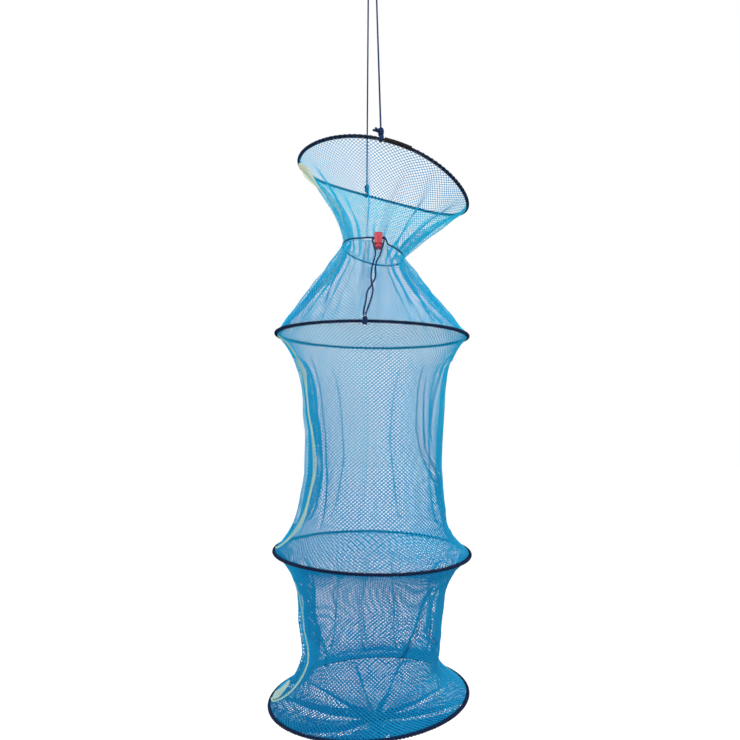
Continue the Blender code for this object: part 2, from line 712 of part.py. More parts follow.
def make_plunger(frame, cavity_size, stem_top, red):
    """The plunger: a stem with its own cross hole, tall enough for the stroke, and a cap of two lobes."""
    stem_size = [size - 2 * GAP for size in cavity_size]
    cap_top = -TOGGLE_BELOW_HOLE - PLUNGER_TRAVEL - GAP
    cap_low = cap_top - PLUNGER_CAP_HEIGHT
    plunger = rounded_block(
        "toggle_plunger",
        (TOGGLE_WIDTH - 2 * GAP, TOGGLE_DEPTH - 2 * GAP, PLUNGER_CAP_HEIGHT),
        cap_low,
        TOGGLE_ROUNDING * 0.8,
        red,
        frame,
    )
    root = (cap_top + cap_low) / 2
    stem = rounded_block("plunger_stem", (*stem_size, stem_top - root), root, 0.0, red, frame)
    boolean(plunger, stem, "UNION")
    half_hole = hole_height() / 2
    low = -half_hole - PLUNGER_TRAVEL
    hole = rounded_block(
        "plunger_hole", (2 * TOGGLE_WIDTH, hole_depth(), half_hole - low), low, 0.0, red, frame
    )
    boolean(plunger, hole, "DIFFERENCE")
    notch = rounded_block(
        "plunger_notch",
        (PLUNGER_NOTCH, 2 * TOGGLE_DEPTH, PLUNGER_CAP_HEIGHT),
        cap_low - PLUNGER_CAP_HEIGHT / 2,
        0.0,
        red,
        frame,
    )
    boolean(plunger, notch, "DIFFERENCE")


def make_spring(frame, low, high, room, steel):
    """The coil spring between the plunger's stem and the barrel's roof."""
    radius = room / 2 - 3 * GAP - SPRING_WIRE
    start = low + SPRING_WIRE / 2 + GAP / 2
    end = high - SPRING_WIRE / 2 - GAP / 2
    points_a_turn = 10
    steps = SPRING_TURNS * points_a_turn
    points = []
    for step in range(steps + 1):
        turn = 2 * math.pi * step / points_a_turn
        rise = start + (end - start) * step / steps
        points.append(frame @ Vector((radius * math.cos(turn), radius * math.sin(turn), rise)))
    tube("toggle_spring", points, SPRING_WIRE, steel, sides=6)
    print(f"toggle_spring: least gap to itself {least_gap(points, SPRING_WIRE, 6) * 1000:.2f} mm")


# The tails' routes from the toggle to their knot: the share of the way, and steps of TAIL_SWAY to
# the right of the straight line between the two and out from the netting. They cross once.
LEFT_TAIL_ROUTE = (
    (0.10, -5.5, 2.5),
    (0.22, -0.5, 1.5),
    (0.40, -2.0, 1.0),
    (0.54, -0.5, 1.5),
    (0.64, 3.0, 4.4),
    (0.72, 6.5, 2.5),
    (0.84, 5.5, 1.0),
    (0.93, 3.6, 1.5),
)
RIGHT_TAIL_ROUTE = (
    (0.20, 7.5, -3.2),
    (0.32, 3.6, -1.0),
    (0.44, 4.2, 0.5),
    (0.54, 6.5, 1.0),
    (0.64, 2.0, -0.6),
    (0.72, -2.4, 0.0),
    (0.84, -1.8, 1.0),
    (0.93, -2.4, 1.0),
)


def tail_knot_centre():
    """The tails' knot lies against the front of the upper hoop's hem."""
    front = UPPER.at(FRONT + TAIL_KNOT_OFFSET / UPPER.radius_mean(), HEM_RADIUS)
    return front + Vector((0.0, -GAP - TAIL_KNOT_WIDTH / 2, 0.0))


def make_tails(cord):
    """The drawstring's two tails: through the toggle's hole, down the front and into their knot."""
    frame = toggle_frame()
    turned = frame.to_3x3()
    knot = tail_knot_centre()
    knot_top = knot + Vector((0.0, 0.0, TAIL_KNOT_HEIGHT / 2 + 3 * GAP))
    reach = TOGGLE_WIDTH / 2 + 2 * GAP + LOOP_STOP
    head = frame @ Vector((0.0, 0.0, -TOGGLE_BELOW_HOLE * 0.35))
    outward = (turned @ Vector((0.0, -1.0, 0.0))).normalized()
    for name, side, lane, route in (
        ("left_tail", -1.0, lane_offset(), LEFT_TAIL_ROUTE),
        ("right_tail", 1.0, -lane_offset(), RIGHT_TAIL_ROUTE),
    ):
        points = [frame @ Vector((-side * reach, lane, 0.0))]
        points.append(frame @ Vector((0.0, lane, 0.0)))
        points.append(frame @ Vector((side * (TOGGLE_WIDTH / 2), lane, 0.0)))
        bend = DRAWSTRING_DIAMETER * 1.3
        points.append(frame @ Vector((side * (TOGGLE_WIDTH / 2 + bend), 1.8 * lane, -bend * 0.6)))
        for share, right, out in route:
            straight = head.lerp(knot_top, share)
            sideways = Vector((right * TAIL_SWAY, 0.0, 0.0))
            points.append(straight + sideways + outward * (out * TAIL_SWAY + TAIL_STANDOFF))
        into_knot = knot_top - Vector((side * 1.25 * lane_offset(), 0.0, 0.0))
        points += [into_knot + Vector((0.0, 0.0, DRAWSTRING_DIAMETER)), into_knot]
        tube(name, smooth(points, 2), DRAWSTRING_DIAMETER, cord)
    bm = bmesh.new()
    half = TAIL_KNOT_WIDTH / 2
    lump(bm, knot, (half, half, TAIL_KNOT_HEIGHT / 2), 3, Matrix.Identity(3))
    finish_mesh("tail_knot", bm, cord)


def make_bag(name, seam, upper, lower, waist, rows, netting, thread):
    """The netting of one compartment, between two hoops."""
    bag = Netting(
        lambda turn: hem_edge(upper, turn, -1.0),
        lambda turn: hem_edge(lower, turn, 1.0),
        waist=waist,
        folds=bag_folds,
    )
    bag.build(name, rows, netting)
    bag.build_seam(seam, rows, thread)


def gather_top():
    """The middle of the gathered netting, under the bottom hoop."""
    return BOTTOM.matrix @ Vector((GATHER_OFFSET, 0.0, -BASE_SAG))


def make_base(netting, cord):
    """The base: netting drawn in from the bottom hoop to a gather, the tie round it and its loop."""
    centre = gather_top()
    neck = GATHER_DIAMETER / 2
    rows = []
    steps = 5
    for row in range(steps):
        t = row / (steps - 1)
        line = []
        for turn in turns_between(0.0, 2 * math.pi, NET_COLUMNS)[:-1]:
            rim = hem_edge(BOTTOM, turn, -1.0)
            gathered = centre + Vector((neck * math.cos(turn), neck * math.sin(turn), 0.0))
            point = rim.lerp(gathered, t)
            hang = BASE_HANG * math.sin(math.pi * t)
            pleat = BASE_PLEAT_DEPTH * math.sin(math.pi * t) * in_and_out(turn)
            line.append(point + Vector((0.0, 0.0, pleat - hang)))
        rows.append(line)
    tail = [
        centre + Vector((0.75 * neck * math.cos(turn), 0.75 * neck * math.sin(turn), -GATHER_TAIL / 2))
        for turn in turns_between(0.0, 2 * math.pi, NET_COLUMNS)[:-1]
    ]
    flare = [
        centre + Vector((1.2 * neck * math.cos(turn), 1.2 * neck * math.sin(turn), -GATHER_TAIL))
        for turn in turns_between(0.0, 2 * math.pi, NET_COLUMNS)[:-1]
    ]
    loft("base_netting", [*rows, tail, flare], netting, wall=NET_WALL)
    make_base_tie(centre - Vector((0.0, 0.0, GATHER_TAIL / 2)), 0.75 * neck, cord)


def make_base_tie(centre, netting_radius, cord):
    """The cord tied round the gather, with the small loop of its ends at the front."""
    radius = netting_radius + NET_WALL / 2 + 4 * GAP + BASE_TIE_DIAMETER / 2
    ring = [
        centre + Vector((radius * math.cos(turn), radius * math.sin(turn), 0.0))
        for turn in turns_between(0.0, 2 * math.pi, 24)[:-1]
    ]
    tube("base_tie", ring, BASE_TIE_DIAMETER, cord, closed=True, sides=6)
    root = centre + Vector((radius + BASE_TIE_DIAMETER / 2 + GAP, 0.0, 0.0))
    half = BASE_LOOP_LENGTH / 2
    loop = [
        root
        + Vector(
            (
                BASE_TIE_DIAMETER / 2 + half * (1.0 - math.cos(turn)),
                -0.35 * half * math.sin(turn),
                -0.5 * half * (1.0 - math.cos(turn)),
            )
        )
        for turn in turns_between(0.0, 2 * math.pi, 16)[:-1]
    ]
    tube("base_loop", loop, BASE_TIE_DIAMETER * 0.8, cord, closed=True, sides=6)


def main():
    """Builds the keepnet, from the hang point down."""
    clear_scene()
    rod = material("black_coated_rod", (0.02, 0.022, 0.03), 0.5)
    rubber = material("black_sleeve", (0.03, 0.028, 0.03), 0.55)
    cord = material("navy_cord", (0.035, 0.07, 0.22), 0.8)
    lashing = material("navy_lashing", (0.03, 0.08, 0.28), 0.8)
    netting = material("blue_netting", (0.10, 0.36, 0.72), 0.6)
    hem = material("navy_hem", (0.04, 0.12, 0.36), 0.8)
    thread = material("lime_thread", (0.72, 0.85, 0.30), 0.7)
    red = material("red_plastic", (0.85, 0.09, 0.12), 0.35)
    steel = material("spring_steel", (0.6, 0.6, 0.62), 0.3, 1.0)
    make_bail(cord)
    make_mouth(rod, rubber, cord, lashing, netting, thread)
    make_neck(cord, netting, thread)
    make_toggle(red, steel)
    make_tails(cord)
    make_hoop("upper", UPPER, rod, hem)
    make_bag("upper_netting", "upper_seam", UPPER, MIDDLE, UPPER_WAIST, UPPER_ROWS, netting, thread)
    make_hoop("middle", MIDDLE, rod, hem)
    make_bag("lower_netting", "lower_seam", MIDDLE, BOTTOM, LOWER_WAIST, LOWER_ROWS, netting, thread)
    make_hoop("bottom", BOTTOM, rod, hem)
    make_base(netting, cord)


main()
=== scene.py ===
"""Looks of the folding keepnet: fine blue netting on four hoops, hung from a navy cord bail.

Everything is in metres, with the hang point at the origin, +Z up and the front towards -Y, as in the
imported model. Each sub-assembly is a class that holds its sizes and builds and dresses its own pieces.
Turns are angles round the net in radians, from +X, and a share of the way down goes from 0 at a netting's
upper edge to 1 at its lower one.
"""

import logging
import math
from dataclasses import dataclass, field
from enum import Enum
from functools import cache
from typing import Any, Callable, Sequence

import bpy
import numpy as np
from mathutils import Matrix, Vector


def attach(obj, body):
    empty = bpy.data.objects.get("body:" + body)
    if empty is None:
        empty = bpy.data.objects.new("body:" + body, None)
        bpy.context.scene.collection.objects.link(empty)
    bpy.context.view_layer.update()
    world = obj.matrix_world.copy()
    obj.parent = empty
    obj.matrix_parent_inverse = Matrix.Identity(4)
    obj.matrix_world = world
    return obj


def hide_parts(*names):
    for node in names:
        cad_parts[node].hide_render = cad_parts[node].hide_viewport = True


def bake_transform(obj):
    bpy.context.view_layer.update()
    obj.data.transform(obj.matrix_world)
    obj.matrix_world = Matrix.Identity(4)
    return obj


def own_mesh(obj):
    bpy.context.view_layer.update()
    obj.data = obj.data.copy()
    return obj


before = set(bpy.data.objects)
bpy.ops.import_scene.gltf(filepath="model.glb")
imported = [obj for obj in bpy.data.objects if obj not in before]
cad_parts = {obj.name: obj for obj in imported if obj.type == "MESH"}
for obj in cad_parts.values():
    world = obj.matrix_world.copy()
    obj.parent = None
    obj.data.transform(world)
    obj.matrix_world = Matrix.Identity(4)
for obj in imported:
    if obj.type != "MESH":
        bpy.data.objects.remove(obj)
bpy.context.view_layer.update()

Triple = tuple[float, float, float]
Course = tuple[tuple[float, float], ...]
Change = Callable[[np.ndarray], np.ndarray]
Law = Callable[[np.ndarray, np.ndarray], np.ndarray]

LOG = logging.getLogger("keepnet")
GAP = 0.0003
FULL_TURN = 2 * math.pi
FRONT = math.radians(-90.0)
UP = (0.0, 0.0, 1.0)
WHITE = (1.0, 1.0, 1.0)
TINY = 1e-12
CM = 100.0
ALONG_MAP = "Along"
BAKE_MAP = "OFBake"
PLAITS = 4.0
PLAIT_PITCH_CM = 0.55
CAP_REACH = np.array([0.45, 0.35])
CAP_RADIUS = np.array([0.08, 0.75])
MESH_COUNT = 150
MESH_WIDTH = 0.92
COLUMNS = 1440


class Body(Enum):
    """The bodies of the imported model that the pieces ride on."""

    BAIL = "bail"
    MOUTH = "mouth"
    NECK = "neck"
    TOGGLE = "toggle"
    PLUNGER = "plunger"
    UPPER = "upper"
    MIDDLE = "middle"
    BOTTOM = "bottom"


class Slot(Enum):
    """The record's material slots."""

    CORD = "navy_cord"
    LASHING = "navy_lashing"
    ROD = "black_rod"
    SLEEVE = "black_sleeve"
    NETTING = "blue_netting"
    HEM = "navy_hem"
    THREAD = "lime_thread"
    RED = "red_plastic"
    STEEL = "spring_steel"


# Shader graph


class Signal:
    """A shader value: arithmetic on it adds Math nodes."""

    def __init__(self, graph: "Graph", socket: Any) -> None:
        """Wraps an output socket of the graph."""
        self.graph = graph
        self.socket = socket

    def __add__(self, other: "Signal | float") -> "Signal":
        """The sum."""
        return self.graph.maths("ADD", self, other)

    def __radd__(self, other: float) -> "Signal":
        """The sum, with the number first."""
        return self.graph.maths("ADD", other, self)

    def __sub__(self, other: "Signal | float") -> "Signal":
        """The difference."""
        return self.graph.maths("SUBTRACT", self, other)

    def __rsub__(self, other: float) -> "Signal":
        """The difference, with the number first."""
        return self.graph.maths("SUBTRACT", other, self)

    def __mul__(self, other: "Signal | float") -> "Signal":
        """The product."""
        return self.graph.maths("MULTIPLY", self, other)

    def __rmul__(self, other: float) -> "Signal":
        """The product, with the number first."""
        return self.graph.maths("MULTIPLY", other, self)

    def __truediv__(self, other: "Signal | float") -> "Signal":
        """The quotient."""
        return self.graph.maths("DIVIDE", self, other)


class Graph:
    """The node tree of one Principled material."""

    def __init__(self, name: str) -> None:
        """Starts a material of that name.

        Args:
            name: The name.
        """
        self.material = bpy.data.materials.new(name)
        self.material.use_nodes = True
        self.tree = self.material.node_tree
        self.shader = self.tree.nodes["Principled BSDF"]

    def add(self, kind: str, settings: dict[str, Any], sockets: dict[Any, Any], out: Any = 0) -> Signal:
        """Adds a node.

        Args:
            kind: The node's type.
            settings: Its properties, set first.
            sockets: Values or signals for its inputs, by name or number.
            out: The output that is wanted, by name or number.

        Returns:
            The signal of that output.
        """
        node = self.tree.nodes.new(kind)
        for key, value in settings.items():
            setattr(node, key, value)
        for key, value in sockets.items():
            self.feed(node.inputs[key], value)
        return Signal(self, node.outputs[out])

    def feed(self, socket: Any, value: Any) -> None:
        """Links a signal to an input, or sets its value, with the alpha that a colour lacks.

        Args:
            socket: The input.
            value: A signal, a number, a vector or a colour.
        """
        if isinstance(value, Signal):
            self.tree.links.new(value.socket, socket)
        else:
            socket.default_value = (*value, 1.0) if socket.type == "RGBA" else value

    def maths(self, operation: str, first: Any, second: Any = 0.0) -> Signal:
        """A Math node on two values."""
        return self.add("ShaderNodeMath", {"operation": operation}, {0: first, 1: second})

    def clamp(self, value: Signal) -> Signal:
        """The value held between 0 and 1."""
        return self.add("ShaderNodeClamp", {}, {"Value": value})

    def place(self) -> Signal:
        """Object coordinates."""
        return self.add("ShaderNodeTexCoord", {}, {}, "Object")

    def part(self, vector: Signal, axis: int) -> Signal:
        """One part of a vector."""
        return self.add("ShaderNodeSeparateXYZ", {}, {0: vector}, axis)

    def noise(self, scale: float, detail: float = 2.0, stretch: Triple = (1.0, 1.0, 1.0)) -> Signal:
        """Noise on object coordinates, from 0 to 1."""
        mapped = self.add("ShaderNodeMapping", {}, {"Vector": self.place(), "Scale": stretch})
        return self.add("ShaderNodeTexNoise", {}, {"Vector": mapped, "Scale": scale, "Detail": detail})

    def lay(self, count: float, pitch_cm: float, way: int = 1) -> Signal:
        """Waves that wind round a cord.

        Args:
            count: How many lie side by side.
            pitch_cm: The length of a whole turn in centimetres.
            way: 1 or -1, the way that they slant.

        Returns:
            Their height, from -1 to 1.
        """
        along = self.add("ShaderNodeUVMap", {"uv_map": ALONG_MAP}, {})
        turn, length = self.part(along, 0), self.part(along, 1)
        return self.maths("SINE", turn * (FULL_TURN * count) + length * (way * FULL_TURN / pitch_cm))

    def blend(self, share: Any, first: Any, second: Any) -> Signal:
        """A mix of two colours."""
        return self.add("ShaderNodeMix", {"data_type": "RGBA"}, {0: share, 6: first, 7: second}, 2)

    def bump(self, height: Signal, distance: float, strength: float) -> None:
        """Feeds a Bump node to the shader's normal."""
        sockets = {"Strength": strength, "Distance": distance, "Height": height}
        self.set(Normal=self.add("ShaderNodeBump", {}, sockets))

    def set(self, **values: Any) -> None:
        """Sets or links the shader's inputs; an underscore in a name stands for a space."""
        for key, value in values.items():
            self.feed(self.shader.inputs[key.replace("_", " ")], value)


# Finishes


@dataclass(frozen=True)
class Finish:
    """What every finish has: its slot, two colours that its pattern blends, its gloss and its relief."""

    name: str
    slot: Slot
    under: Triple
    over: Triple
    roughness: float
    specular: float = 0.1
    distance: float = 0.0002
    strength: float = 0.6

    def ground(self, graph: Graph) -> Any:
        """The colour under the pattern."""
        return self.under

    def pattern(self, graph: Graph) -> tuple[Any, Any, Any]:
        """The share of the second colour, what is added to the roughness, and the height, if any."""
        raise NotImplementedError

    def make(self) -> Any:
        """Builds the material.

        Returns:
            The material.
        """
        graph = Graph(self.name)
        share, rougher, height = self.pattern(graph)
        graph.set(
            Base_Color=graph.blend(share, self.ground(graph), self.over),
            Roughness=graph.clamp(rougher + self.roughness),
            Specular_IOR_Level=self.specular,
        )
        if height is not None:
            graph.bump(height, self.distance, self.strength)
        return graph.material


@dataclass(frozen=True)
class NettingYarn(Finish):
    """Fine knotless twine, with painted light and shade: paler at the net's top and back, deeper blue at its
    front and its base.
    """

    name: str = "netting_yarn"
    slot: Slot = Slot.NETTING
    under: Triple = (0.006, 0.430, 0.790)
    over: Triple = (0.030, 0.600, 0.850)
    roughness: float = 0.75
    specular: float = 0.08
    # Painted shade at the front and towards the base; the back's paler colours are painted light.
    painted_shade_front_low: Triple = (0.004, 0.222, 0.500)
    painted_light_back_high: Triple = (0.040, 0.820, 0.980)
    painted_light_back_low: Triple = (0.020, 0.400, 0.735)
    high_z: float = -0.45
    low_z: float = -1.40
    reach: float = 0.12

    def ground(self, graph: Graph) -> Signal:
        """The blue at each height, at the front and at the back, with painted shade towards the base and at the
        front and painted light at the top and the back.

        Args:
            graph: The material's nodes.

        Returns:
            The colour.
        """
        height, depth = (graph.part(graph.place(), axis) for axis in (2, 1))
        # Painted shade: the blue deepens from high_z down to low_z.
        share = graph.clamp((self.high_z - height) / (self.high_z - self.low_z))
        front = graph.blend(share, self.under, self.painted_shade_front_low)
        back = graph.blend(share, self.painted_light_back_high, self.painted_light_back_low)
        # Painted shade on the front strands, painted light on the back ones.
        return graph.blend(graph.clamp(depth / (2 * self.reach) + 0.5), front, back)

    def pattern(self, graph: Graph) -> tuple[Any, Any, Any]:
        """Faded patches and fine fibres.

        Args:
            graph: The material's nodes.

        Returns:
            What any pattern gives.
        """
        patches = graph.clamp((graph.noise(11.0, 3.0) - 0.42) * 2.2)
        fibres = graph.noise(1400.0) - 0.5
        return patches * 0.35 + fibres * 0.3, fibres * 0.4, None


@dataclass(frozen=True)
class BraidedCord(Finish):
    """Braided polyester cord: two sets of plaits that cross, with painted shade in the grooves between them."""

    name: str = "braided_cord"
    slot: Slot = Slot.CORD
    # The darker colour is painted shade for the grooves.
    under: Triple = (0.003, 0.011, 0.042)
    over: Triple = (0.015, 0.043, 0.140)
    roughness: float = 0.72
    specular: float = 0.12

    def pattern(self, graph: Graph) -> tuple[Any, Any, Any]:
        """Plaits that run both ways round the cord, with painted shade in the grooves between them.

        Args:
            graph: The material's nodes.

        Returns:
            What any pattern gives.
        """
        one, two = (graph.maths("ABSOLUTE", graph.lay(PLAITS, PLAIT_PITCH_CM, way)) for way in (1, -1))
        plait = graph.maths("MAXIMUM", one, two)
        fibres = graph.noise(2600.0)
        # Painted shade: the colour darkens where the plaits' height falls into the grooves; fibres vary it at
        # random.
        share = graph.clamp((plait - 0.55) * 2.2 + (fibres - 0.5) * 0.6)
        return share, (fibres - 0.5) * 0.3, plait + fibres * 0.35


@dataclass(frozen=True)
class TwistedThread(Finish):
    """Twisted sewing thread or lashing cord, with fine slanting strands and painted shade between them."""

    roughness: float = 0.65
    distance: float = 0.00012
    strands: float = 3.0
    pitch_cm: float = 0.3

    def pattern(self, graph: Graph) -> tuple[Any, Any, Any]:
        """Strands that wind round the thread, with painted shade between them, fibres and wear.

        Args:
            graph: The material's nodes.

        Returns:
            What any pattern gives.
        """
        lay = graph.lay(self.strands, self.pitch_cm)
        fibres, wear = graph.noise(2400.0), graph.noise(45.0, 3.0)
        # Painted shade: the lay darkens the colour between the strands; fibres and wear vary it as the thread's
        # own.
        share = graph.clamp(0.5 + lay * 0.4 + (fibres - 0.5) * 0.5 + (wear - 0.5) * 0.7)
        return share, (fibres - 0.5) * 0.3, lay * 0.5 + fibres * 0.3


@dataclass(frozen=True)
class CoatedRod(Finish):
    """Wire in a smooth black plastic skin, with faint scuffs."""

    name: str = "coated_rod"
    slot: Slot = Slot.ROD
    under: Triple = (0.004, 0.005, 0.009)
    over: Triple = (0.020, 0.023, 0.032)
    roughness: float = 0.34
    strength: float = 0.3

    def pattern(self, graph: Graph) -> tuple[Any, Any, Any]:
        """Scuffs, and slow waves in the skin.

        Args:
            graph: The material's nodes.

        Returns:
            What any pattern gives.
        """
        scuffs = graph.clamp((graph.noise(320.0, 4.0, (1.0, 1.0, 0.3)) - 0.52) * 5.0)
        return scuffs * 0.6, scuffs * 0.25, graph.noise(120.0, 1.0)


@dataclass(frozen=True)
class SleeveRubber(Finish):
    """Brownish black rubber tube, a little dusty."""

    name: str = "sleeve_rubber"
    slot: Slot = Slot.SLEEVE
    under: Triple = (0.008, 0.006, 0.007)
    over: Triple = (0.045, 0.034, 0.034)
    roughness: float = 0.42
    specular: float = 0.12
    distance: float = 0.00012
    strength: float = 0.5

    def pattern(self, graph: Graph) -> tuple[Any, Any, Any]:
        """Fine grain and patches of dust.

        Args:
            graph: The material's nodes.

        Returns:
            What any pattern gives.
        """
        grain = graph.noise(1800.0)
        dust = graph.clamp((graph.noise(160.0, 4.0) - 0.45) * 3.0)
        return dust * 0.55, grain * 0.2 + dust * 0.15, grain


@dataclass(frozen=True)
class HemFabric(Finish):
    """Netting folded over a hoop in several layers: near black navy with the lighter lines of the mesh."""

    name: str = "hem_fabric"
    slot: Slot = Slot.HEM
    under: Triple = (0.0020, 0.0060, 0.024)
    over: Triple = (0.006, 0.026, 0.100)
    roughness: float = 0.6
    distance: float = 0.0003
    strength: float = 0.8
    mesh_count: float = 5.0
    mesh_pitch_cm: float = 0.42

    def pattern(self, graph: Graph) -> tuple[Any, Any, Any]:
        """The lines of the mesh, and patches where they fade.

        Args:
            graph: The material's nodes.

        Returns:
            What any pattern gives.
        """
        one, two = (graph.lay(self.mesh_count, self.mesh_pitch_cm, way) for way in (1, -1))
        lines = graph.maths("MAXIMUM", one, two)
        patches = graph.noise(60.0, 3.0) - 0.5
        return graph.clamp((lines - 0.35) * 1.2 + patches * 0.8), patches * 0.3, lines


@dataclass(frozen=True)
class MouldedRed(Finish):
    """Glossy moulded red plastic with slight flow marks and a soft sheen."""

    name: str = "moulded_red"
    slot: Slot = Slot.RED
    under: Triple = (0.470, 0.009, 0.028)
    over: Triple = (0.640, 0.036, 0.070)
    roughness: float = 0.24
    specular: float = 0.5
    distance: float = 0.0001
    strength: float = 0.4

    def pattern(self, graph: Graph) -> tuple[Any, Any, Any]:
        """Flow marks, which shine a little more, and fine grain.

        Args:
            graph: The material's nodes.

        Returns:
            What any pattern gives.
        """
        flow = graph.noise(140.0, 3.0, (1.0, 1.0, 0.4))
        grain = graph.noise(3200.0, 1.0)
        graph.set(Coat_Weight=graph.clamp(0.25 + flow * 0.2))
        return graph.clamp((flow - 0.35) * 1.8), flow * 0.12 + grain * 0.06, flow + grain * 0.25


@dataclass(frozen=True)
class SpringSteel(Finish):
    """Drawn spring wire, bright, with fine drawing marks."""

    name: str = "spring_wire"
    slot: Slot = Slot.STEEL
    under: Triple = (0.55, 0.56, 0.58)
    over: Triple = (0.36, 0.36, 0.37)
    roughness: float = 0.22
    specular: float = 0.5

    def pattern(self, graph: Graph) -> tuple[Any, Any, Any]:
        """Drawing marks on bare metal.

        Args:
            graph: The material's nodes.

        Returns:
            What any pattern gives.
        """
        marks = graph.noise(2600.0, 3.0)
        graph.set(Metallic=1.0)
        return graph.clamp((marks - 0.4) * 2.0), marks * 0.2, None


@cache
def material_of(finish: Finish) -> Any:
    """The material of a finish, which is made once."""
    return finish.make()


YARN = NettingYarn()
CORD = BraidedCord()
# Each thread's darker colour is partly painted shade between its strands and partly its own wear.
LASHING = TwistedThread("lashing_cord", Slot.LASHING, (0.002, 0.012, 0.042), (0.010, 0.056, 0.165))
STITCH = TwistedThread("hem_stitching", Slot.HEM, (0.0015, 0.005, 0.020), (0.008, 0.036, 0.125))
THREAD = TwistedThread("seam_thread", Slot.THREAD, (0.360, 0.580, 0.260), (0.620, 0.820, 0.420))
SELVAGE = TwistedThread("selvage_yarn", Slot.THREAD, (0.440, 0.650, 0.600), (0.660, 0.810, 0.700))
CREAM_SELVAGE = TwistedThread("cream_selvage_yarn", Slot.THREAD, (0.860, 0.920, 0.680), (0.950, 0.980, 0.800))


# Meshes


def deselect_all() -> None:
    """Leaves nothing selected or active, in object mode."""
    if bpy.context.object and bpy.context.object.mode != "OBJECT":
        bpy.ops.object.mode_set(mode="OBJECT")
    bpy.ops.object.select_all(action="DESELECT")


def make_active(piece: Any) -> None:
    """Selects one object and makes it active.

    Args:
        piece: The object.
    """
    deselect_all()
    piece.select_set(True)
    bpy.context.view_layer.objects.active = piece


def edit(piece: Any, kind: str, wanted: Callable[[Any], bool], *steps: tuple[Any, dict[str, Any]]) -> None:
    """Selects edges or faces of a piece by a test, and shapes them in edit mode.

    Args:
        piece: The object.
        kind: EDGE or FACE.
        wanted: Whether an edge or a face is selected.
        steps: The operators in order, each with its settings.
    """
    make_active(piece)
    bpy.ops.object.mode_set(mode="EDIT")
    bpy.ops.mesh.select_mode(type=kind)
    bpy.ops.mesh.select_all(action="DESELECT")
    bpy.ops.object.mode_set(mode="OBJECT")
    for element in piece.data.edges if kind == "EDGE" else piece.data.polygons:
        element.select = wanted(element)
    bpy.ops.object.mode_set(mode="EDIT")
    for operator, settings in steps:
        operator(**settings)
    bpy.ops.object.mode_set(mode="OBJECT")


def is_end(face: Any) -> bool:
    """Whether a face looks up or down."""
    return abs(face.normal.z) > 0.9


def any_part(element: Any) -> bool:
    """Every edge or face."""
    return True


def combine(target: Any, other: Any, operation: str = "DIFFERENCE") -> None:
    """Takes one solid out of another, or adds it for UNION, and removes it.

    Args:
        target: The solid that is changed.
        other: The solid that goes.
        operation: The kind of boolean.
    """
    make_active(target)
    step = target.modifiers.new("combine", "BOOLEAN")
    step.operation, step.solver, step.object = operation, "EXACT", other
    bpy.ops.object.modifier_apply(modifier=step.name)
    bpy.data.objects.remove(other, do_unlink=True)


@dataclass(frozen=True)
class Crossing:
    """Where netting that joins two bodies leaves the first and where it has reached the second."""

    far: Body
    start: Triple
    end: Triple


def settle(
    piece: Any, finish: Finish, body: Body, nodes: Sequence[str] = (), crossing: Crossing | None = None
) -> Any:
    """Dresses a finished piece and ties it to the frame.

    Args:
        piece: The object.
        finish: The finish that it wears.
        body: The body that it rides on.
        nodes: The CAD nodes that it stands for.
        crossing: How it goes over to a second body.

    Returns:
        The piece.
    """
    piece.data.materials.clear()
    piece.data.materials.append(material_of(finish))
    if crossing:
        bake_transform(piece)
    else:
        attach(piece, body.value)
    if nodes:
        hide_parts(*nodes)
    LOG.info("%s: %d faces on %s", piece.name, len(piece.data.polygons), body.value)
    return piece


def mesh_piece(name: str, points: np.ndarray, faces: np.ndarray, maps: dict[str, np.ndarray]) -> Any:
    """Makes an object from arrays.

    Args:
        name: The piece's name.
        points: Its vertices, n by 3.
        faces: Its quads, m by 4.
        maps: UV maps by name, m by 4 by 2.

    Returns:
        The object, smooth shaded.
    """
    mesh = bpy.data.meshes.new(name)
    mesh.vertices.add(len(points))
    mesh.vertices.foreach_set("co", np.ascontiguousarray(points, dtype=np.float32).ravel())
    mesh.loops.add(faces.size)
    mesh.loops.foreach_set("vertex_index", np.ascontiguousarray(faces, dtype=np.int32).ravel())
    mesh.polygons.add(len(faces))
    mesh.polygons.foreach_set("loop_start", np.arange(0, faces.size, faces.shape[1], dtype=np.int32))
    mesh.update(calc_edges=True)
    for key, places in maps.items():
        layer = mesh.uv_layers.new(name=key)
        layer.uv.foreach_set("vector", np.ascontiguousarray(places, dtype=np.float32).ravel())
    mesh.shade_smooth()
    piece = bpy.data.objects.new(name, mesh)
    bpy.context.scene.collection.objects.link(piece)
    return piece


def smooth_line(points: Sequence[Any], steps: int) -> np.ndarray:
    """A smooth curve through the points, with so many steps between each two.

    Args:
        points: The points.
        steps: How many steps there are between two of them.

    Returns:
        The curve's points.
    """
    rows = np.array([tuple(point) for point in points], dtype=float)
    padded = np.vstack([2 * rows[0] - rows[1], rows, 2 * rows[-1] - rows[-2]])
    t = (np.arange(steps) / steps)[:, None]
    made = []
    for before, start, end, after in zip(padded, padded[1:], padded[2:], padded[3:]):
        squared = (2 * before - 5 * start + 4 * end - after) * t**2
        cubed = (3 * start - before - 3 * end + after) * t**3
        made.append(0.5 * (2 * start + (end - before) * t + squared + cubed))
    return np.vstack([*made, rows[-1:]])


def run_along(points: np.ndarray) -> np.ndarray:
    """The length from a line's start to each of its points."""
    return np.concatenate([[0.0], np.cumsum(np.linalg.norm(np.diff(points, axis=0), axis=1))])


def spaced(points: np.ndarray, step: float) -> np.ndarray:
    """The same line, with its points a step apart.

    Args:
        points: The line.
        step: The step.

    Returns:
        The new points.
    """
    run = run_along(points)
    wanted = np.linspace(0.0, run[-1], max(2, int(round(run[-1] / step)) + 1))
    return np.stack([np.interp(wanted, run, points[:, axis]) for axis in range(3)], axis=1)


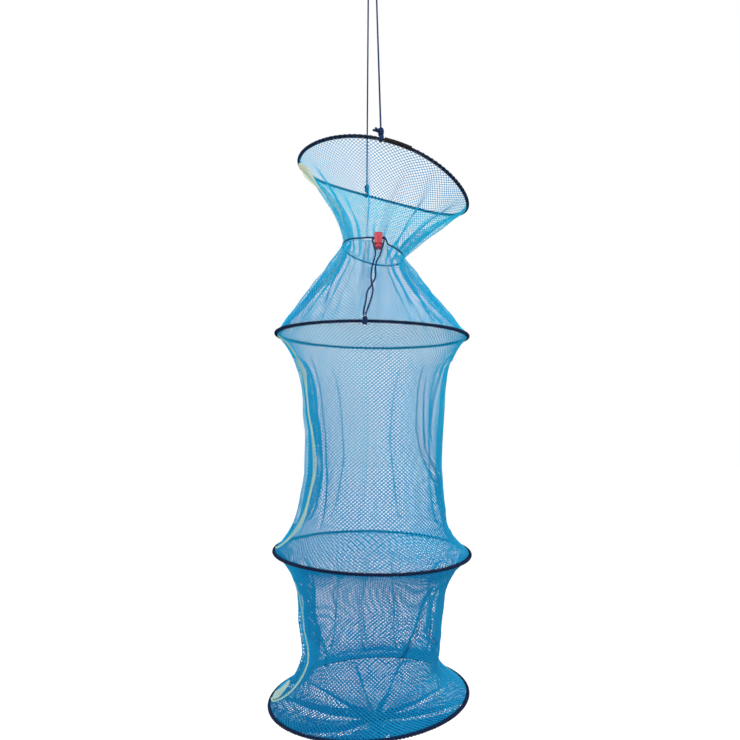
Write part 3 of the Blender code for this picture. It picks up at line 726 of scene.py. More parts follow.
def unit(vectors: np.ndarray) -> np.ndarray:
    """The vectors at length 1."""
    return vectors / (np.linalg.norm(vectors, axis=-1, keepdims=True) + TINY)


def wound(centre: np.ndarray, reach: Any, angles: np.ndarray, rise: np.ndarray) -> np.ndarray:
    """Turns about an upright axis.

    Args:
        centre: The middle of the turns.
        reach: The radius, one number or one for each point.
        angles: The angle of each point.
        rise: The height of each point above the middle.

    Returns:
        The line.
    """
    return centre + np.stack([reach * np.cos(angles), reach * np.sin(angles), rise], axis=1)


def cross_directions(points: np.ndarray, closed: bool) -> tuple[np.ndarray, np.ndarray]:
    """Two directions across a line at each of its points, without twist.

    Args:
        points: The line.
        closed: Whether it closes on itself.

    Returns:
        Both directions, point by point.
    """
    if closed:
        tangents = unit(np.roll(points, -1, axis=0) - np.roll(points, 1, axis=0))
    else:
        tangents = unit(np.gradient(points, axis=0))
    across = np.empty_like(points)
    current = np.array(UP if abs(tangents[0, 2]) < 0.9 else (1.0, 0.0, 0.0))
    for index, tangent in enumerate(tangents):
        current = unit(current - tangent * (current @ tangent))
        across[index] = current
    return across, np.cross(tangents, across)


def rings_about(
    line: np.ndarray, reach: np.ndarray, sides: int, axes: Sequence[np.ndarray], lead: float
) -> np.ndarray:
    """Rings of points about each point of a line.

    Args:
        line: The points.
        reach: The rings' radii.
        sides: How many points a ring has.
        axes: Two directions across the line at each point.
        lead: The angle of a ring's first point.

    Returns:
        The points, ring by ring.
    """
    angles = (FULL_TURN * np.arange(sides) / sides + lead)[:, None]
    across, beside = (axis[..., None, :] for axis in axes)
    return line[..., None, :] + reach[..., None] * (np.cos(angles) * across + np.sin(angles) * beside)


def quads_between(lower: np.ndarray, upper: np.ndarray, sides: int) -> np.ndarray:
    """The faces between pairs of rings, from the numbers of their first points.

    Args:
        lower: Those numbers for the lower rings.
        upper: Those for the upper rings.
        sides: How many points a ring has.

    Returns:
        The faces, as four numbers each.
    """
    here = np.arange(sides)
    after = (here + 1) % sides
    lower, upper = lower[..., None], upper[..., None]
    return np.stack([lower + here, lower + after, upper + after, upper + here], axis=-1).reshape(-1, 4)


def sweep(
    name: str,
    line: np.ndarray,
    radius: float | np.ndarray,
    sides: int = 8,
    closed: bool = False,
    plaits: float = 0.0,
) -> Any:
    """A round cord or rod along a line.

    Args:
        name: The piece's name.
        line: Its centreline.
        radius: Its radius, one number or one for each point.
        sides: How many sides it has.
        closed: Whether it closes on itself; otherwise its ends are rounded off.
        plaits: How high its plaits stand, which its finish paints too.

    Returns:
        The object, with maps of its turn and length and for baking.
    """
    line = np.asarray(line, dtype=float)
    radii = np.broadcast_to(np.asarray(radius, dtype=float), (len(line),)).copy()
    axes = cross_directions(line, closed)
    if not closed:
        first, last = unit(line[0] - line[1]), unit(line[-1] - line[-2])
        head = line[0] + first * (radii[0] * CAP_REACH)[:, None]
        tail = line[-1] + last * (radii[-1] * CAP_REACH[::-1])[:, None]
        line = np.vstack([head, line, tail])
        radii = np.concatenate([radii[0] * CAP_RADIUS, radii, radii[-1] * CAP_RADIUS[::-1]])
        axes = [np.pad(axis, ((2, 2), (0, 0)), mode="edge") for axis in axes]
    run = run_along(np.vstack([line, line[:1]]) if closed else line)
    reach = radii[:, None] * np.ones(sides)
    if plaits:
        turn = FULL_TURN * PLAITS * np.arange(sides) / sides
        lean = FULL_TURN * run[: len(line), None] * CM / PLAIT_PITCH_CM
        crossed = np.maximum(np.abs(np.sin(turn + lean)), np.abs(np.sin(turn - lean)))
        reach = reach + plaits * (crossed - 0.85) * (radii[:, None] / radii.max())
    return grid_piece(name, rings_about(line, reach, sides, axes, 0.0), run, closed)


def grid_piece(name: str, rings: np.ndarray, run: np.ndarray, closed: bool) -> Any:
    """A skin over rings of points, each a closed loop.

    Args:
        name: The piece's name.
        rings: The points, ring by ring.
        run: The length along the piece at each ring, and at its end.
        closed: Whether the last ring joins the first.

    Returns:
        The object, with its two maps.
    """
    count, sides = rings.shape[:2]
    spans = count if closed else count - 1
    first = np.arange(spans)
    faces = quads_between(first * sides, (first + 1) % count * sides, sides)
    middle = rings[count // 2]
    girth = np.linalg.norm(middle - np.roll(middle, 1, axis=0), axis=1).sum()
    strips = max(1, int(round(math.sqrt(run[-1] / max(girth, 1e-6)))))
    scaled = run / run[-1] * strips * 0.9999
    strip = np.floor((scaled[:spans] + scaled[1 : spans + 1]) / 2)
    along, places = np.empty((2, spans, sides, 4, 2))
    for corner, (side, step) in enumerate(((0, 0), (1, 0), (1, 1), (0, 1))):
        turn = (np.arange(sides) + side) / sides
        along[:, :, corner, 0] = turn
        along[:, :, corner, 1] = run[step : spans + step, None] * CM
        places[:, :, corner, 0] = (strip[:, None] + 0.03 + 0.94 * turn) / strips
        within = np.clip(scaled[step : spans + step] - strip, 0.0, 1.0)
        places[:, :, corner, 1] = within[:, None] * 0.98 + 0.01
    maps = {ALONG_MAP: along.reshape(-1, 4, 2), BAKE_MAP: places.reshape(-1, 4, 2)}
    return mesh_piece(name, rings.reshape(-1, 3), faces, maps)


def lattice(grid: np.ndarray, step: int, radius: float) -> list[Any]:
    """Strands of two slants over a grid of points.

    Args:
        grid: The points, line by line.
        step: How many points a strand moves on from one line to the next.
        radius: The strands' radius.

    Returns:
        The strands.
    """
    levels, count = len(grid) - 1, grid.shape[1]
    made = []
    for slant in (1, -1):
        for start in range(-levels * step, count, step):
            rows = [start + (level if slant > 0 else levels - level) * step for level in range(levels + 1)]
            line = [grid[level, row] for level, row in enumerate(rows) if 0 <= row < count]
            if len(line) > 1:
                made.append(sweep("strand", np.array(line), radius, sides=3))
    return made


def join(name: str, parts: Sequence[Any]) -> Any:
    """Joins several objects into one, under a new name.

    Args:
        name: The new name.
        parts: The objects.

    Returns:
        The joined object.
    """
    make_active(parts[0])
    for part in parts[1:]:
        part.select_set(True)
    bpy.ops.object.join()
    parts[0].name = parts[0].data.name = name
    deselect_all()
    return parts[0]


# Rings and netting


@dataclass(frozen=True)
class Ring:
    """An oval or saddle-bent ring: where it hangs, its half sizes, its tilts in degrees and its lift."""

    offset: float
    drop: float
    half_width: float
    half_depth: float
    right: float
    back: float
    lift: float = 0.0

    def matrix(self) -> Matrix:
        """From the ring's own axes to the net's.

        Returns:
            The matrix.
        """
        right = Matrix.Rotation(math.radians(self.right), 4, "Y")
        back = Matrix.Rotation(math.radians(self.back), 4, "X")
        return Matrix.Translation((self.offset, 0.0, -self.drop)) @ (right @ back)

    def at(self, turns: Any, outward: Any = 0.0, upward: Any = 0.0) -> np.ndarray:
        """The points at angles round the ring, moved outwards and upwards.

        Args:
            turns: The angles.
            outward: How far they are moved outwards.
            upward: How far they are moved upwards.

        Returns:
            The points.
        """
        turns = np.asarray(turns, dtype=float)
        wide, deep = (self.half_width + outward) * np.cos(turns), (self.half_depth + outward) * np.sin(turns)
        local = np.stack(np.broadcast_arrays(wide, deep, upward - self.lift * np.cos(2 * turns)), axis=-1)
        place = np.array(self.matrix())
        return local @ place[:3, :3].T + place[:3, 3]

    def radius(self) -> float:
        """The mean of its two radii."""
        return (self.half_width + self.half_depth) / 2


MOUTH = Ring(0.0237, 0.455, 0.162, 0.162, 15.2, 1.5, 0.012)
NECK = Ring(0.0025, 0.592, 0.058, 0.068, 12.8, -5.0)
UPPER = Ring(0.0, 0.749, 0.175, 0.175, 1.0, -1.4)
MIDDLE = Ring(0.0, 1.136, 0.175, 0.175, 1.0, 0.4)
BOTTOM = Ring(-0.006, 1.387, 0.175, 0.175, -3.6, -0.7)


@dataclass(frozen=True)
class Pleats:
    """A group of pleats: its middle line in degrees down the net, half width, number and weight."""

    line: Course
    half: float
    count: int = 1
    weight: float = 1.0
    sway: float = 1.0
    fade: float = 0.07

    def depth(self, turns: np.ndarray, t: np.ndarray) -> np.ndarray:
        """How far in the netting goes.

        Args:
            turns: Angles round the net.
            t: Shares of the way down.

        Returns:
            The depth, from 0 to the group's weight.
        """
        shares, degrees = zip(*self.line)
        centre = np.interp(t, shares, degrees) + self.sway * np.sin(FULL_TURN * 1.2 * t + degrees[0])
        away = (np.degrees(turns) - centre + 180.0) % 360.0 - 180.0
        x = np.clip(away / self.half, -1.0, 1.0)
        ripple = 0.5 - 0.5 * np.cos(math.pi * self.count * (x + 1.0))
        begun = 1.0 if shares[0] <= 0.0 else np.clip((t - shares[0]) / self.fade + 1.0, 0.0, 1.0)
        ended = 1.0 if shares[-1] >= 1.0 else np.clip((shares[-1] - t) / self.fade + 1.0, 0.0, 1.0)
        power = 0.7 if self.count > 1 else 1.0
        return self.weight * begun * ended * ripple * np.cos(0.5 * math.pi * x) ** power


def long_pleats(*rows: tuple[float, float, float, int, float]) -> tuple[Pleats, ...]:
    """Groups that run from edge to edge: their degrees above and below, half width, number and weight."""
    return tuple(
        Pleats(((0, above), (1, below)), half, count, weight) for above, below, half, count, weight in rows
    )


def turn_back(values: np.ndarray, power: float) -> np.ndarray:
    """The share 1 - |2t - 1| to a power, which is how a waist pulls in."""
    return 1.0 - np.abs(2.0 * values - 1.0) ** power


def level_ways(turns: np.ndarray) -> np.ndarray:
    """The level directions outwards at angles round the net."""
    return np.stack([np.cos(turns), np.sin(turns), np.zeros_like(turns)], axis=-1)


def tube_law(
    top: Change, foot: Change, folds: Law, waist: float = 0.0, narrowing: Change = np.ones_like
) -> Law:
    """The plain form of a sleeve of netting between two edges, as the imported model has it.

    Args:
        top: The upper edge, as points at turns.
        foot: The lower edge.
        folds: How far the netting stands out at turns and shares of the way down.
        waist: How far it is drawn in half way.
        narrowing: The power by which it nears the lower edge, at turns.

    Returns:
        The form, as points at turns and shares of the way down.
    """

    def law(turns: np.ndarray, t: np.ndarray) -> np.ndarray:
        """The points of the form.

        Args:
            turns: Angles round the net.
            t: Shares of the way down.

        Returns:
            The points.
        """
        turns, t = np.broadcast_arrays(turns, t)
        high, low = top(turns), foot(turns)
        point = high + (low - high) * (1.0 - (1.0 - t) ** narrowing(turns))[..., None]
        point[..., 2] = high[..., 2] + (low[..., 2] - high[..., 2]) * t
        push = folds(turns, t) - waist * turn_back(t, 4.0)
        return point + level_ways(turns) * push[..., None]

    return law


def ease(levels: np.ndarray) -> np.ndarray:
    """Nothing at the edges, all a little way in."""
    return np.clip(np.minimum(levels, 1.0 - levels) / 0.03, 0.0, 1.0)


def normals_of(outline: np.ndarray) -> np.ndarray:
    """The outward directions of a grid of rows and columns that goes round."""
    across = np.roll(outline, -1, axis=1) - np.roll(outline, 1, axis=1)
    return unit(np.cross(np.gradient(outline, axis=0), across))


@dataclass
class Netting:
    """A tube of netting: its plain form, its pleats and how much cloth goes round it.

    Its mesh is a little wider and its strands a little thicker at the front than at the back. Thick strands
    have closed ends.
    """

    name: str
    law: Law
    rows: int
    cloth: float
    pleats: tuple[Pleats, ...]
    fullness: Change
    deepest: Change
    strand: tuple[float, ...]
    seed: int
    strands: int = MESH_COUNT
    front_weight: float = 0.18
    close_over: float = 0.0011
    crumple: float = 0.0006
    uneven: float = 0.14
    scatter: float = 0.00012
    levels: np.ndarray = field(init=False)
    outline: np.ndarray = field(init=False)
    drop_length: float = field(init=False)

    def __post_init__(self) -> None:
        """Works out the folded form: each row's pleats are as deep as its cloth allows."""
        self.space_levels()
        turns = (math.pi + FULL_TURN * np.arange(COLUMNS) / COLUMNS)[None, :]
        t = self.levels[:, None]
        plain = self.law(turns, t)
        normals = normals_of(plain)
        depth = sum(group.depth(turns, t) for group in self.pleats)
        wanted = np.maximum(self.fullness(self.levels) * self.cloth, 0.0)
        low, high = np.zeros(len(self.levels)), self.deepest(self.levels)
        for _ in range(18):
            middle = (low + high) / 2
            tried = plain - normals * (depth * middle[:, None])[..., None]
            short = np.linalg.norm(np.roll(tried, -1, axis=1) - tried, axis=2).sum(axis=1) < wanted
            low, high = np.where(short, middle, low), np.where(short, high, middle)
        amount = (low + high) / 2 * ease(self.levels)
        folded = plain - normals * (depth * amount[:, None])[..., None]
        self.outline = folded + normals * self.crumples(turns, t)[..., None]
        LOG.info("%s: pleats up to %.1f mm deep", self.name, 1000 * amount.max())

    def space_levels(self) -> None:
        """Finds the rows' shares of the way down, at even distances along the cloth, and its whole length."""
        fine = np.linspace(0.0, 1.0, 401)
        lines = self.law((FULL_TURN * np.arange(24) / 24)[None, :], fine[:, None])
        run = np.concatenate([[0.0], np.cumsum(np.linalg.norm(np.diff(lines, axis=0), axis=2).mean(axis=1))])
        self.drop_length = float(run[-1])
        self.levels = np.interp(np.linspace(0.0, run[-1], 2 * self.rows + 1), run, fine)

    def crumples(self, turns: np.ndarray, t: np.ndarray) -> np.ndarray:
        """Slight unevenness of slack netting.

        Args:
            turns: Angles round the net.
            t: Shares of the way down.

        Returns:
            How far the netting stands out there.
        """
        draw = np.random.default_rng(self.seed)
        made = 0.0
        for _ in range(7):
            around, down, phase = draw.integers(2, 15), draw.uniform(-5.0, 5.0), draw.uniform(0.0, FULL_TURN)
            made = made + np.sin(around * turns + FULL_TURN * down * t + phase)
        return made * self.crumple / 2.6 * ease(t)

    def nodes(self) -> tuple[np.ndarray, np.ndarray]:
        """The crossings of the mesh.

        Returns:
            Their places, row by row, and the outward directions there.
        """
        count = 2 * self.strands
        closed = np.concatenate([self.outline, self.outline[:, :1]], axis=1)
        made = np.empty((len(closed), count, 3))
        share = np.arange(count) / count
        share = share + self.uneven * np.sin(FULL_TURN * share) / FULL_TURN
        for row, points in enumerate(closed):
            run = run_along(points)
            wanted = (run[COLUMNS // 4] + run[-1] * share) % run[-1]
            for axis in range(3):
                made[row, :, axis] = np.interp(wanted, run, points[:, axis])
        normals = normals_of(made)
        draw = np.random.default_rng(self.seed + 50)
        made[1:-1] += draw.normal(0.0, self.scatter, made[1:-1].shape)
        return made, normals

    def strand_piece(self, name: str, grid: tuple[np.ndarray, np.ndarray], start: int, end: int) -> Any:
        """The strands of both slants between two rows, as one piece.

        Args:
            name: The piece's name.
            grid: The crossings of the mesh, and the outward directions there.
            start: Its first row.
            end: Its last row.

        Returns:
            The object.
        """
        sides = 3
        rows = np.arange(start, end + 1)
        thick = np.interp(self.levels[rows], np.linspace(0.0, 1.0, len(self.strand)), self.strand)
        points, quads, maps = [], [], []
        for slant in (1, -1):
            columns = (2 * np.arange(self.strands)[:, None] + slant * rows) % (2 * self.strands)
            line, up = (values[rows, columns] for values in grid)
            radius = 0.605 * (thick * (1.0 - self.front_weight * up[..., 1]))[..., None]
            line = line + up * (slant * 0.3 * thick)[:, None]
            tangent = unit(np.gradient(line, axis=1))
            up = unit(up - tangent * (up * tangent).sum(axis=2, keepdims=True))
            rings = rings_about(line, radius, sides, (up, np.cross(tangent, up)), math.pi / 2)
            if thick.mean() > self.close_over:
                rings = np.concatenate([rings[:, :1], rings, rings[:, -1:]], axis=1)
                rings[:, 0], rings[:, -1] = line[:, 0, None], line[:, -1, None]
            count, height = rings.shape[:2]
            base = (np.arange(count)[:, None] * height + np.arange(height - 1)) * sides
            base = base + sum(len(block) for block in points)
            quads.append(quads_between(base, base + sides, sides))
            points.append(rings.reshape(-1, 3))
            number = np.arange(count)[:, None, None] + (0 if slant > 0 else count)
            level, side = np.arange(height - 1)[:, None], np.arange(sides)
            places = np.empty((count, height - 1, sides, 4, 2))
            for corner, (edge, step) in enumerate(((0.08, 0), (0.92, 0), (0.92, 1), (0.08, 1))):
                places[..., corner, 0] = (number + (side + edge) / sides) / (2 * count)
                places[..., corner, 1] = (level + step) / (height - 1)
            maps.append(places.reshape(-1, 4, 2))
        return mesh_piece(name, np.vstack(points), np.vstack(quads), {BAKE_MAP: np.vstack(maps)})

    def build(self, pieces: int = 1) -> list[Any]:
        """Builds the netting in one or more bands, so that each stays light enough.

        Args:
            pieces: How many bands.

        Returns:
            The bands, from the top down.
        """
        grid = self.nodes()
        cuts = [round(2 * self.rows * step / pieces) for step in range(pieces + 1)]
        names = [self.name] if pieces == 1 else [f"{self.name}_{number + 1}" for number in range(pieces)]
        return [self.strand_piece(name, grid, start, end) for name, start, end in zip(names, cuts, cuts[1:])]

    def hang(self, body: Body, node: str, rests_on: str, crossing: Crossing | None = None) -> None:
        """Builds the netting as one piece and dresses it.

        Args:
            body: The body that it rides on.
            node: The CAD node that it stands for.
            rests_on: The piece that carries it; not used.
            crossing: How it goes over to a second body.
        """
        piece = settle(self.build()[0], YARN, body, [node], crossing)

    def line_at(self, degrees: Change, outward: float) -> tuple[np.ndarray, np.ndarray]:
        """A line down the netting.

        Args:
            degrees: Its angle at shares of the way down.
            outward: How far it stands off.

        Returns:
            Its points and the outward directions along it.
        """
        wanted = (np.radians(degrees(self.levels)) - math.pi) % FULL_TURN / FULL_TURN * COLUMNS
        low = np.floor(wanted).astype(int) % COLUMNS
        share = (wanted - np.floor(wanted))[:, None]
        rows, high = np.arange(len(self.levels)), (low + 1) % COLUMNS
        points, out = (
            values[rows, low] * (1 - share) + values[rows, high] * share
            for values in (self.outline, normals_of(self.outline))
        )
        return points + out * outward, out


# Sub-assemblies


@dataclass
class Studio:
    """The camera, the pale floor and the soft light."""

    eye: Triple = (-0.0035, -1.19, -0.887)
    pitch: float = 3.67
    lens: float = 31.57
    floor_z: float = -1.75
    floor_size: float = 14.0
    floor_glow: float = 0.52
    lamp_power: float = 19.0
    aim: Triple = (0.0, 0.0, -0.85)

    def build(self) -> None:
        """Makes all of it."""
        data = bpy.data.cameras.new("photo_camera")
        data.lens, data.sensor_width = self.lens, 36.0
        data.clip_start, data.clip_end = 0.01, 50.0
        camera = bpy.data.objects.new("photo_camera", data)
        camera.location = self.eye
        camera.rotation_euler = (math.radians(90.0 + self.pitch), 0.0, 0.0)
        bpy.context.scene.collection.objects.link(camera)
        bpy.context.scene.camera = camera
        bpy.context.scene.view_settings.view_transform = "Standard"
        world = bpy.data.worlds.new("studio")
        world.use_nodes = True
        world.node_tree.nodes["Background"].inputs["Color"].default_value = (*WHITE, 1.0)
        world.node_tree.nodes["Background"].inputs["Strength"].default_value = 1.0
        bpy.context.scene.world = world
        self.make_floor()
        self.make_lamp("key_lamp", (-1.3, -2.2, 1.0), 1.7, 2.4)
        self.make_lamp("fill_lamp", (1.9, -1.4, 0.2), 0.9, 2.4)
        self.make_lamp("back_lamp", (0.4, 2.2, 0.7), 0.8, 2.0)

    def make_floor(self) -> None:
        """A pale floor below the net, which keeps its shadow."""
        bpy.ops.mesh.primitive_plane_add(size=self.floor_size, location=(0.0, 2.0, self.floor_z))
        floor = bpy.context.object
        floor.name = "studio_floor"
        graph = Graph("pale_floor")
        glow = graph.add("ShaderNodeLightPath", {}, {}, "Is Camera Ray") * self.floor_glow
        graph.set(Base_Color=(0.5, 0.5, 0.5), Roughness=0.9, Emission_Color=WHITE, Emission_Strength=glow)
        floor.data.materials.append(graph.material)

    def make_lamp(self, name: str, place: Triple, share: float, size: float) -> None:
        """A large soft lamp that looks at the middle of the net.

        Args:
            name: Its name.
            place: Where it stands.
            share: Its share of the lamp power.
            size: How wide it is.
        """
        data = bpy.data.lights.new(name, "AREA")
        data.energy, data.size = self.lamp_power * share, size
        lamp = bpy.data.objects.new(name, data)
        lamp.location = place
        lamp.rotation_euler = (Vector(self.aim) - Vector(place)).to_track_quat("-Z", "Y").to_euler()
        bpy.context.scene.collection.objects.link(lamp)


@dataclass
class Bail:
    """The braided cord over the hang point, its knots and the hitches that grip the mouth hoop."""

    diameter: float = 0.003
    bend_radius: float = 0.0062
    hitch_radius: float = 0.0047
    hitch_reach: float = 0.00385
    hitch_turns: float = 1.9
    knot_length: float = 0.017
    knot_diameter: float = 0.0105
    knot_wraps: float = 4.4
    stub_length: float = 0.010
    front_degrees: float = -94.1
    back_degrees: float = 104.0

    def build(self) -> None:
        """Makes the cord first, then its knots."""
        centre = np.array([0.0, 0.0, self.diameter / 2 - self.bend_radius])
        turns = np.linspace(0.0, math.pi, 9)
        bend = centre + self.bend_radius * np.stack([np.cos(turns), 0 * turns, np.sin(turns)], axis=1)
        runs = []
        sides = (("front", self.front_degrees, bend[0]), ("back", self.back_degrees, bend[-1]))
        for side, degrees, shoulder in sides:
            hitch = MOUTH.at(math.radians(degrees))
            up = (shoulder - hitch) / np.linalg.norm(shoulder - hitch)
            low = hitch + up * (self.hitch_radius + GAP)
            high = low + up * (self.knot_length + GAP)
            runs.append([high + (shoulder - high) * step / 24 for step in range(24)])
            self.make_knot(side, low, up)
            self.make_hitch(side, math.radians(degrees))
        route = np.array([*runs[0], *bend, *reversed(runs[1])])
        line = spaced(smooth_line(route, 4), 0.00045)
        cord = sweep("bail_cord_braid", line, self.diameter / 2, sides=16, plaits=0.00028)
        settle(cord, CORD, Body.BAIL, ["bail_cord"])

    def make_knot(self, side: str, low: np.ndarray, up: np.ndarray) -> None:
        """The wraps above the hoop round their core, with two cut ends at the front.

        Args:
            side: Front or back.
            low: The knot's lower end.
            up: The direction of the cord above it.
        """
        across = np.array(Vector(up).orthogonal().normalized())
        share = np.linspace(0.0, 1.0, int(self.knot_wraps * 20) + 1)
        angle = (FULL_TURN * self.knot_wraps * share - math.pi / 2)[:, None]
        widening = 0.72 + 0.28 * np.clip(1.8 * share, 0.0, 1.0)
        narrowing = 1 - 0.35 * np.clip(share * 5 - 4.2, 0, 1)
        reach = (self.knot_diameter - self.diameter) / 2 * widening * narrowing
        rise = self.diameter * 0.45 + (self.knot_length - self.diameter * 0.9) * share
        beside = np.cross(up, across)
        line = low + up * rise[:, None] + reach[:, None] * (np.cos(angle) * across + np.sin(angle) * beside)
        core = np.array([low + up * self.diameter * 0.3, low + up * (self.knot_length - 0.0005)])
        parts = [
            sweep("wrap", line, self.diameter * 0.5, sides=10, plaits=0.0002),
            sweep("core", spaced(core, 0.001), self.diameter * 0.7, sides=10),
        ]
        for sideways, above in ((-1.15, 0.001), (-0.55, 0.002)) if side == "front" else ():
            root = low + up * self.knot_length * 0.36
            start = root + up * above
            way = unit(np.array([sideways, -0.78, 0.12]))
            tip = start + way * (self.knot_diameter / 2 + self.stub_length)
            stub = smooth_line([start, (root + tip) / 2 + np.array([0.0, 0.0, 0.001]), tip], 8)
            flare = self.diameter * 0.56 * (1 + 0.16 * np.linspace(0, 1, len(stub)) ** 5)
            parts.append(sweep("stub", stub, flare, sides=12, plaits=0.0002))
        settle(join(f"{side}_knot_wraps", parts), CORD, Body.BAIL, [f"{side}_bail_knot"])

    def make_hitch(self, side: str, turn: float) -> None:
        """The turns round the mouth hoop's rod under a knot.

        Args:
            side: Front or back.
            turn: Where on the hoop they are.
        """
        share = np.linspace(0.0, 1.0, 60)
        angle = FULL_TURN * self.hitch_turns * share + math.pi / 2
        step = self.diameter * 0.95 * (self.hitch_turns - 1.0) * (share - 0.5) * 2.1 / MOUTH.radius()
        line = MOUTH.at(turn + step, self.hitch_reach * np.cos(angle), self.hitch_reach * np.sin(angle))
        piece = sweep(f"{side}_hitch_turns", line, self.diameter * 0.56, sides=10, plaits=0.0002)
        settle(piece, CORD, Body.MOUTH, [f"{side}_hitch"])


@dataclass
class Toggle:
    """The spring toggle: a rounded barrel with a cross hole and slot, and a plunger with two lobes."""

    width: float = 0.014
    depth: float = 0.013
    above: float = 0.009
    below: float = 0.013
    wall: float = 0.0017
    corner: float = 0.0035
    edge: float = 0.0012
    slot: float = 0.0014
    slot_depth: float = 0.0051
    dimple: Triple = (0.0036, 0.0009, 0.0021)
    dimple_rise: float = 0.0058
    notch: float = 0.0018
    offset: float = 0.011
    standoff: float = 0.016
    drop: float = 0.001
    lean: float = 15.0
    travel: float = 0.002
    cap: float = 0.005
    cap_inset: float = 0.0004
    bridge: float = 0.0013
    cord: float = 0.0028
    loop_stop: float = 0.0008
    clear: float = 0.001

    def frame(self) -> Matrix:
        """Its own axes at the middle of its hole: X right, Y back towards the net, Z up its barrel.

        Returns:
            The matrix from them to the net's.
        """
        front = NECK.at(FRONT)
        place = Matrix.Translation((self.offset, front[1] - self.standoff, front[2] - self.drop))
        return place @ Matrix.Rotation(math.radians(-self.lean), 4, "X")

    def lane(self) -> float:
        """The two cords lie side by side in its hole, this far from the middle."""
        return (self.cord + GAP) / 2

    def block(self, name: str, size: Triple, low: float, rounded: bool = False) -> Any:
        """A block standing on a level.

        Args:
            name: Its name.
            size: How wide, deep and high it is.
            low: The level.
            rounded: Whether its upright edges are bevelled and its ends stepped in round their rims.

        Returns:
            The block, in the toggle's own axes.
        """
        edge = self.edge if rounded else 0.0
        height = size[2] - 2 * edge
        deselect_all()
        place = (0.0, 0.0, low + size[2] / 2)
        bpy.ops.mesh.primitive_cube_add(size=1.0, location=place, scale=(size[0], size[1], height))
        block = bpy.context.object
        block.name = block.data.name = name
        bpy.ops.object.transform_apply(location=True, rotation=True, scale=True)
        if rounded:

            def upright(line: Any) -> bool:
                """Whether an edge runs up the block."""
                first, second = (block.data.vertices[index].co.z for index in line.vertices)
                return abs(first - second) > height * 0.5

            bevel = {"offset": self.corner, "segments": 8, "profile": 0.5, "affect": "EDGES"}
            edit(block, "EDGE", upright, (bpy.ops.mesh.bevel, bevel))
            angles = np.radians([0.0, 22.5, 45.0, 67.5, 90.0])
            inward, upward = -edge * np.diff(np.cos(angles)), edge * np.diff(np.sin(angles))
            steps = [{"thickness": float(side), "depth": float(rise)} for side, rise in zip(inward, upward)]
            edit(block, "FACE", is_end, *((bpy.ops.mesh.inset, step) for step in steps))
        return block

    def finish_block(self, block: Any, body: Body, node: str) -> None:
        """Moves a block's mesh to the toggle's place, shades it and dresses it.

        Args:
            block: The block.
            body: The body that it rides on.
            node: The CAD node that it stands for.
        """
        block.data.transform(self.frame())
        make_active(block)
        bpy.ops.object.shade_smooth_by_angle(angle=math.radians(32.0))
        block.select_set(False)
        settle(block, MouldedRed(), body, [node])

    def build(self) -> None:
        """Makes the barrel and the plunger; the spring inside keeps its own form."""
        hole = (2 * self.width, 2 * self.cord + 3 * GAP, self.cord + 2 * GAP)
        room = (self.width - 3.6 * self.wall, self.depth - 2 * self.wall)
        foot = -self.below - self.clear
        size = (self.width, self.depth, self.above + self.below)
        barrel = self.block("barrel_shell", size, -self.below, True)
        combine(barrel, self.block("room", (*room, self.above - self.wall - foot), foot))
        combine(barrel, self.block("cross", hole, -hole[2] / 2))
        slot = self.block("slot", (self.slot, self.slot_depth, hole[2] / 2 - foot), foot)
        slot.data.transform(Matrix.Translation((0.0, -self.depth / 2, 0.0)))
        combine(barrel, slot)
        deselect_all()
        bpy.ops.mesh.primitive_uv_sphere_add(segments=32, ring_count=16, radius=1.0, location=(0.0, 0.0, 0.0))
        dimple = bpy.context.object
        place = Matrix.Translation((0.0, -self.depth / 2, self.dimple_rise))
        dimple.data.transform(place @ Matrix.Diagonal((*self.dimple, 1.0)))
        combine(barrel, dimple)
        self.finish_block(barrel, Body.TOGGLE, "toggle_barrel")
        cap_top = -self.below - self.travel - GAP
        size = (self.width - self.cap_inset, self.depth - self.cap_inset, self.cap)
        plunger = self.block("plunger_cap", size, cap_top - self.cap, True)
        stem_foot = cap_top - self.cap / 2
        stem = (room[0] - 2 * GAP, room[1] - 2 * GAP, hole[2] / 2 + self.bridge - stem_foot)
        combine(plunger, self.block("stem", stem, stem_foot), "UNION")
        low = -hole[2] / 2 - self.travel
        combine(plunger, self.block("hole", (hole[0], hole[1], hole[2] / 2 - low), low))
        notch = (self.notch, 2 * self.depth, self.cap)
        combine(plunger, self.block("notch", notch, cap_top - 1.5 * self.cap))
        self.finish_block(plunger, Body.PLUNGER, "toggle_plunger")
        spring = bpy.data.objects["toggle_spring"]
        spring.data.materials.clear()
        spring.data.materials.append(material_of(SpringSteel()))


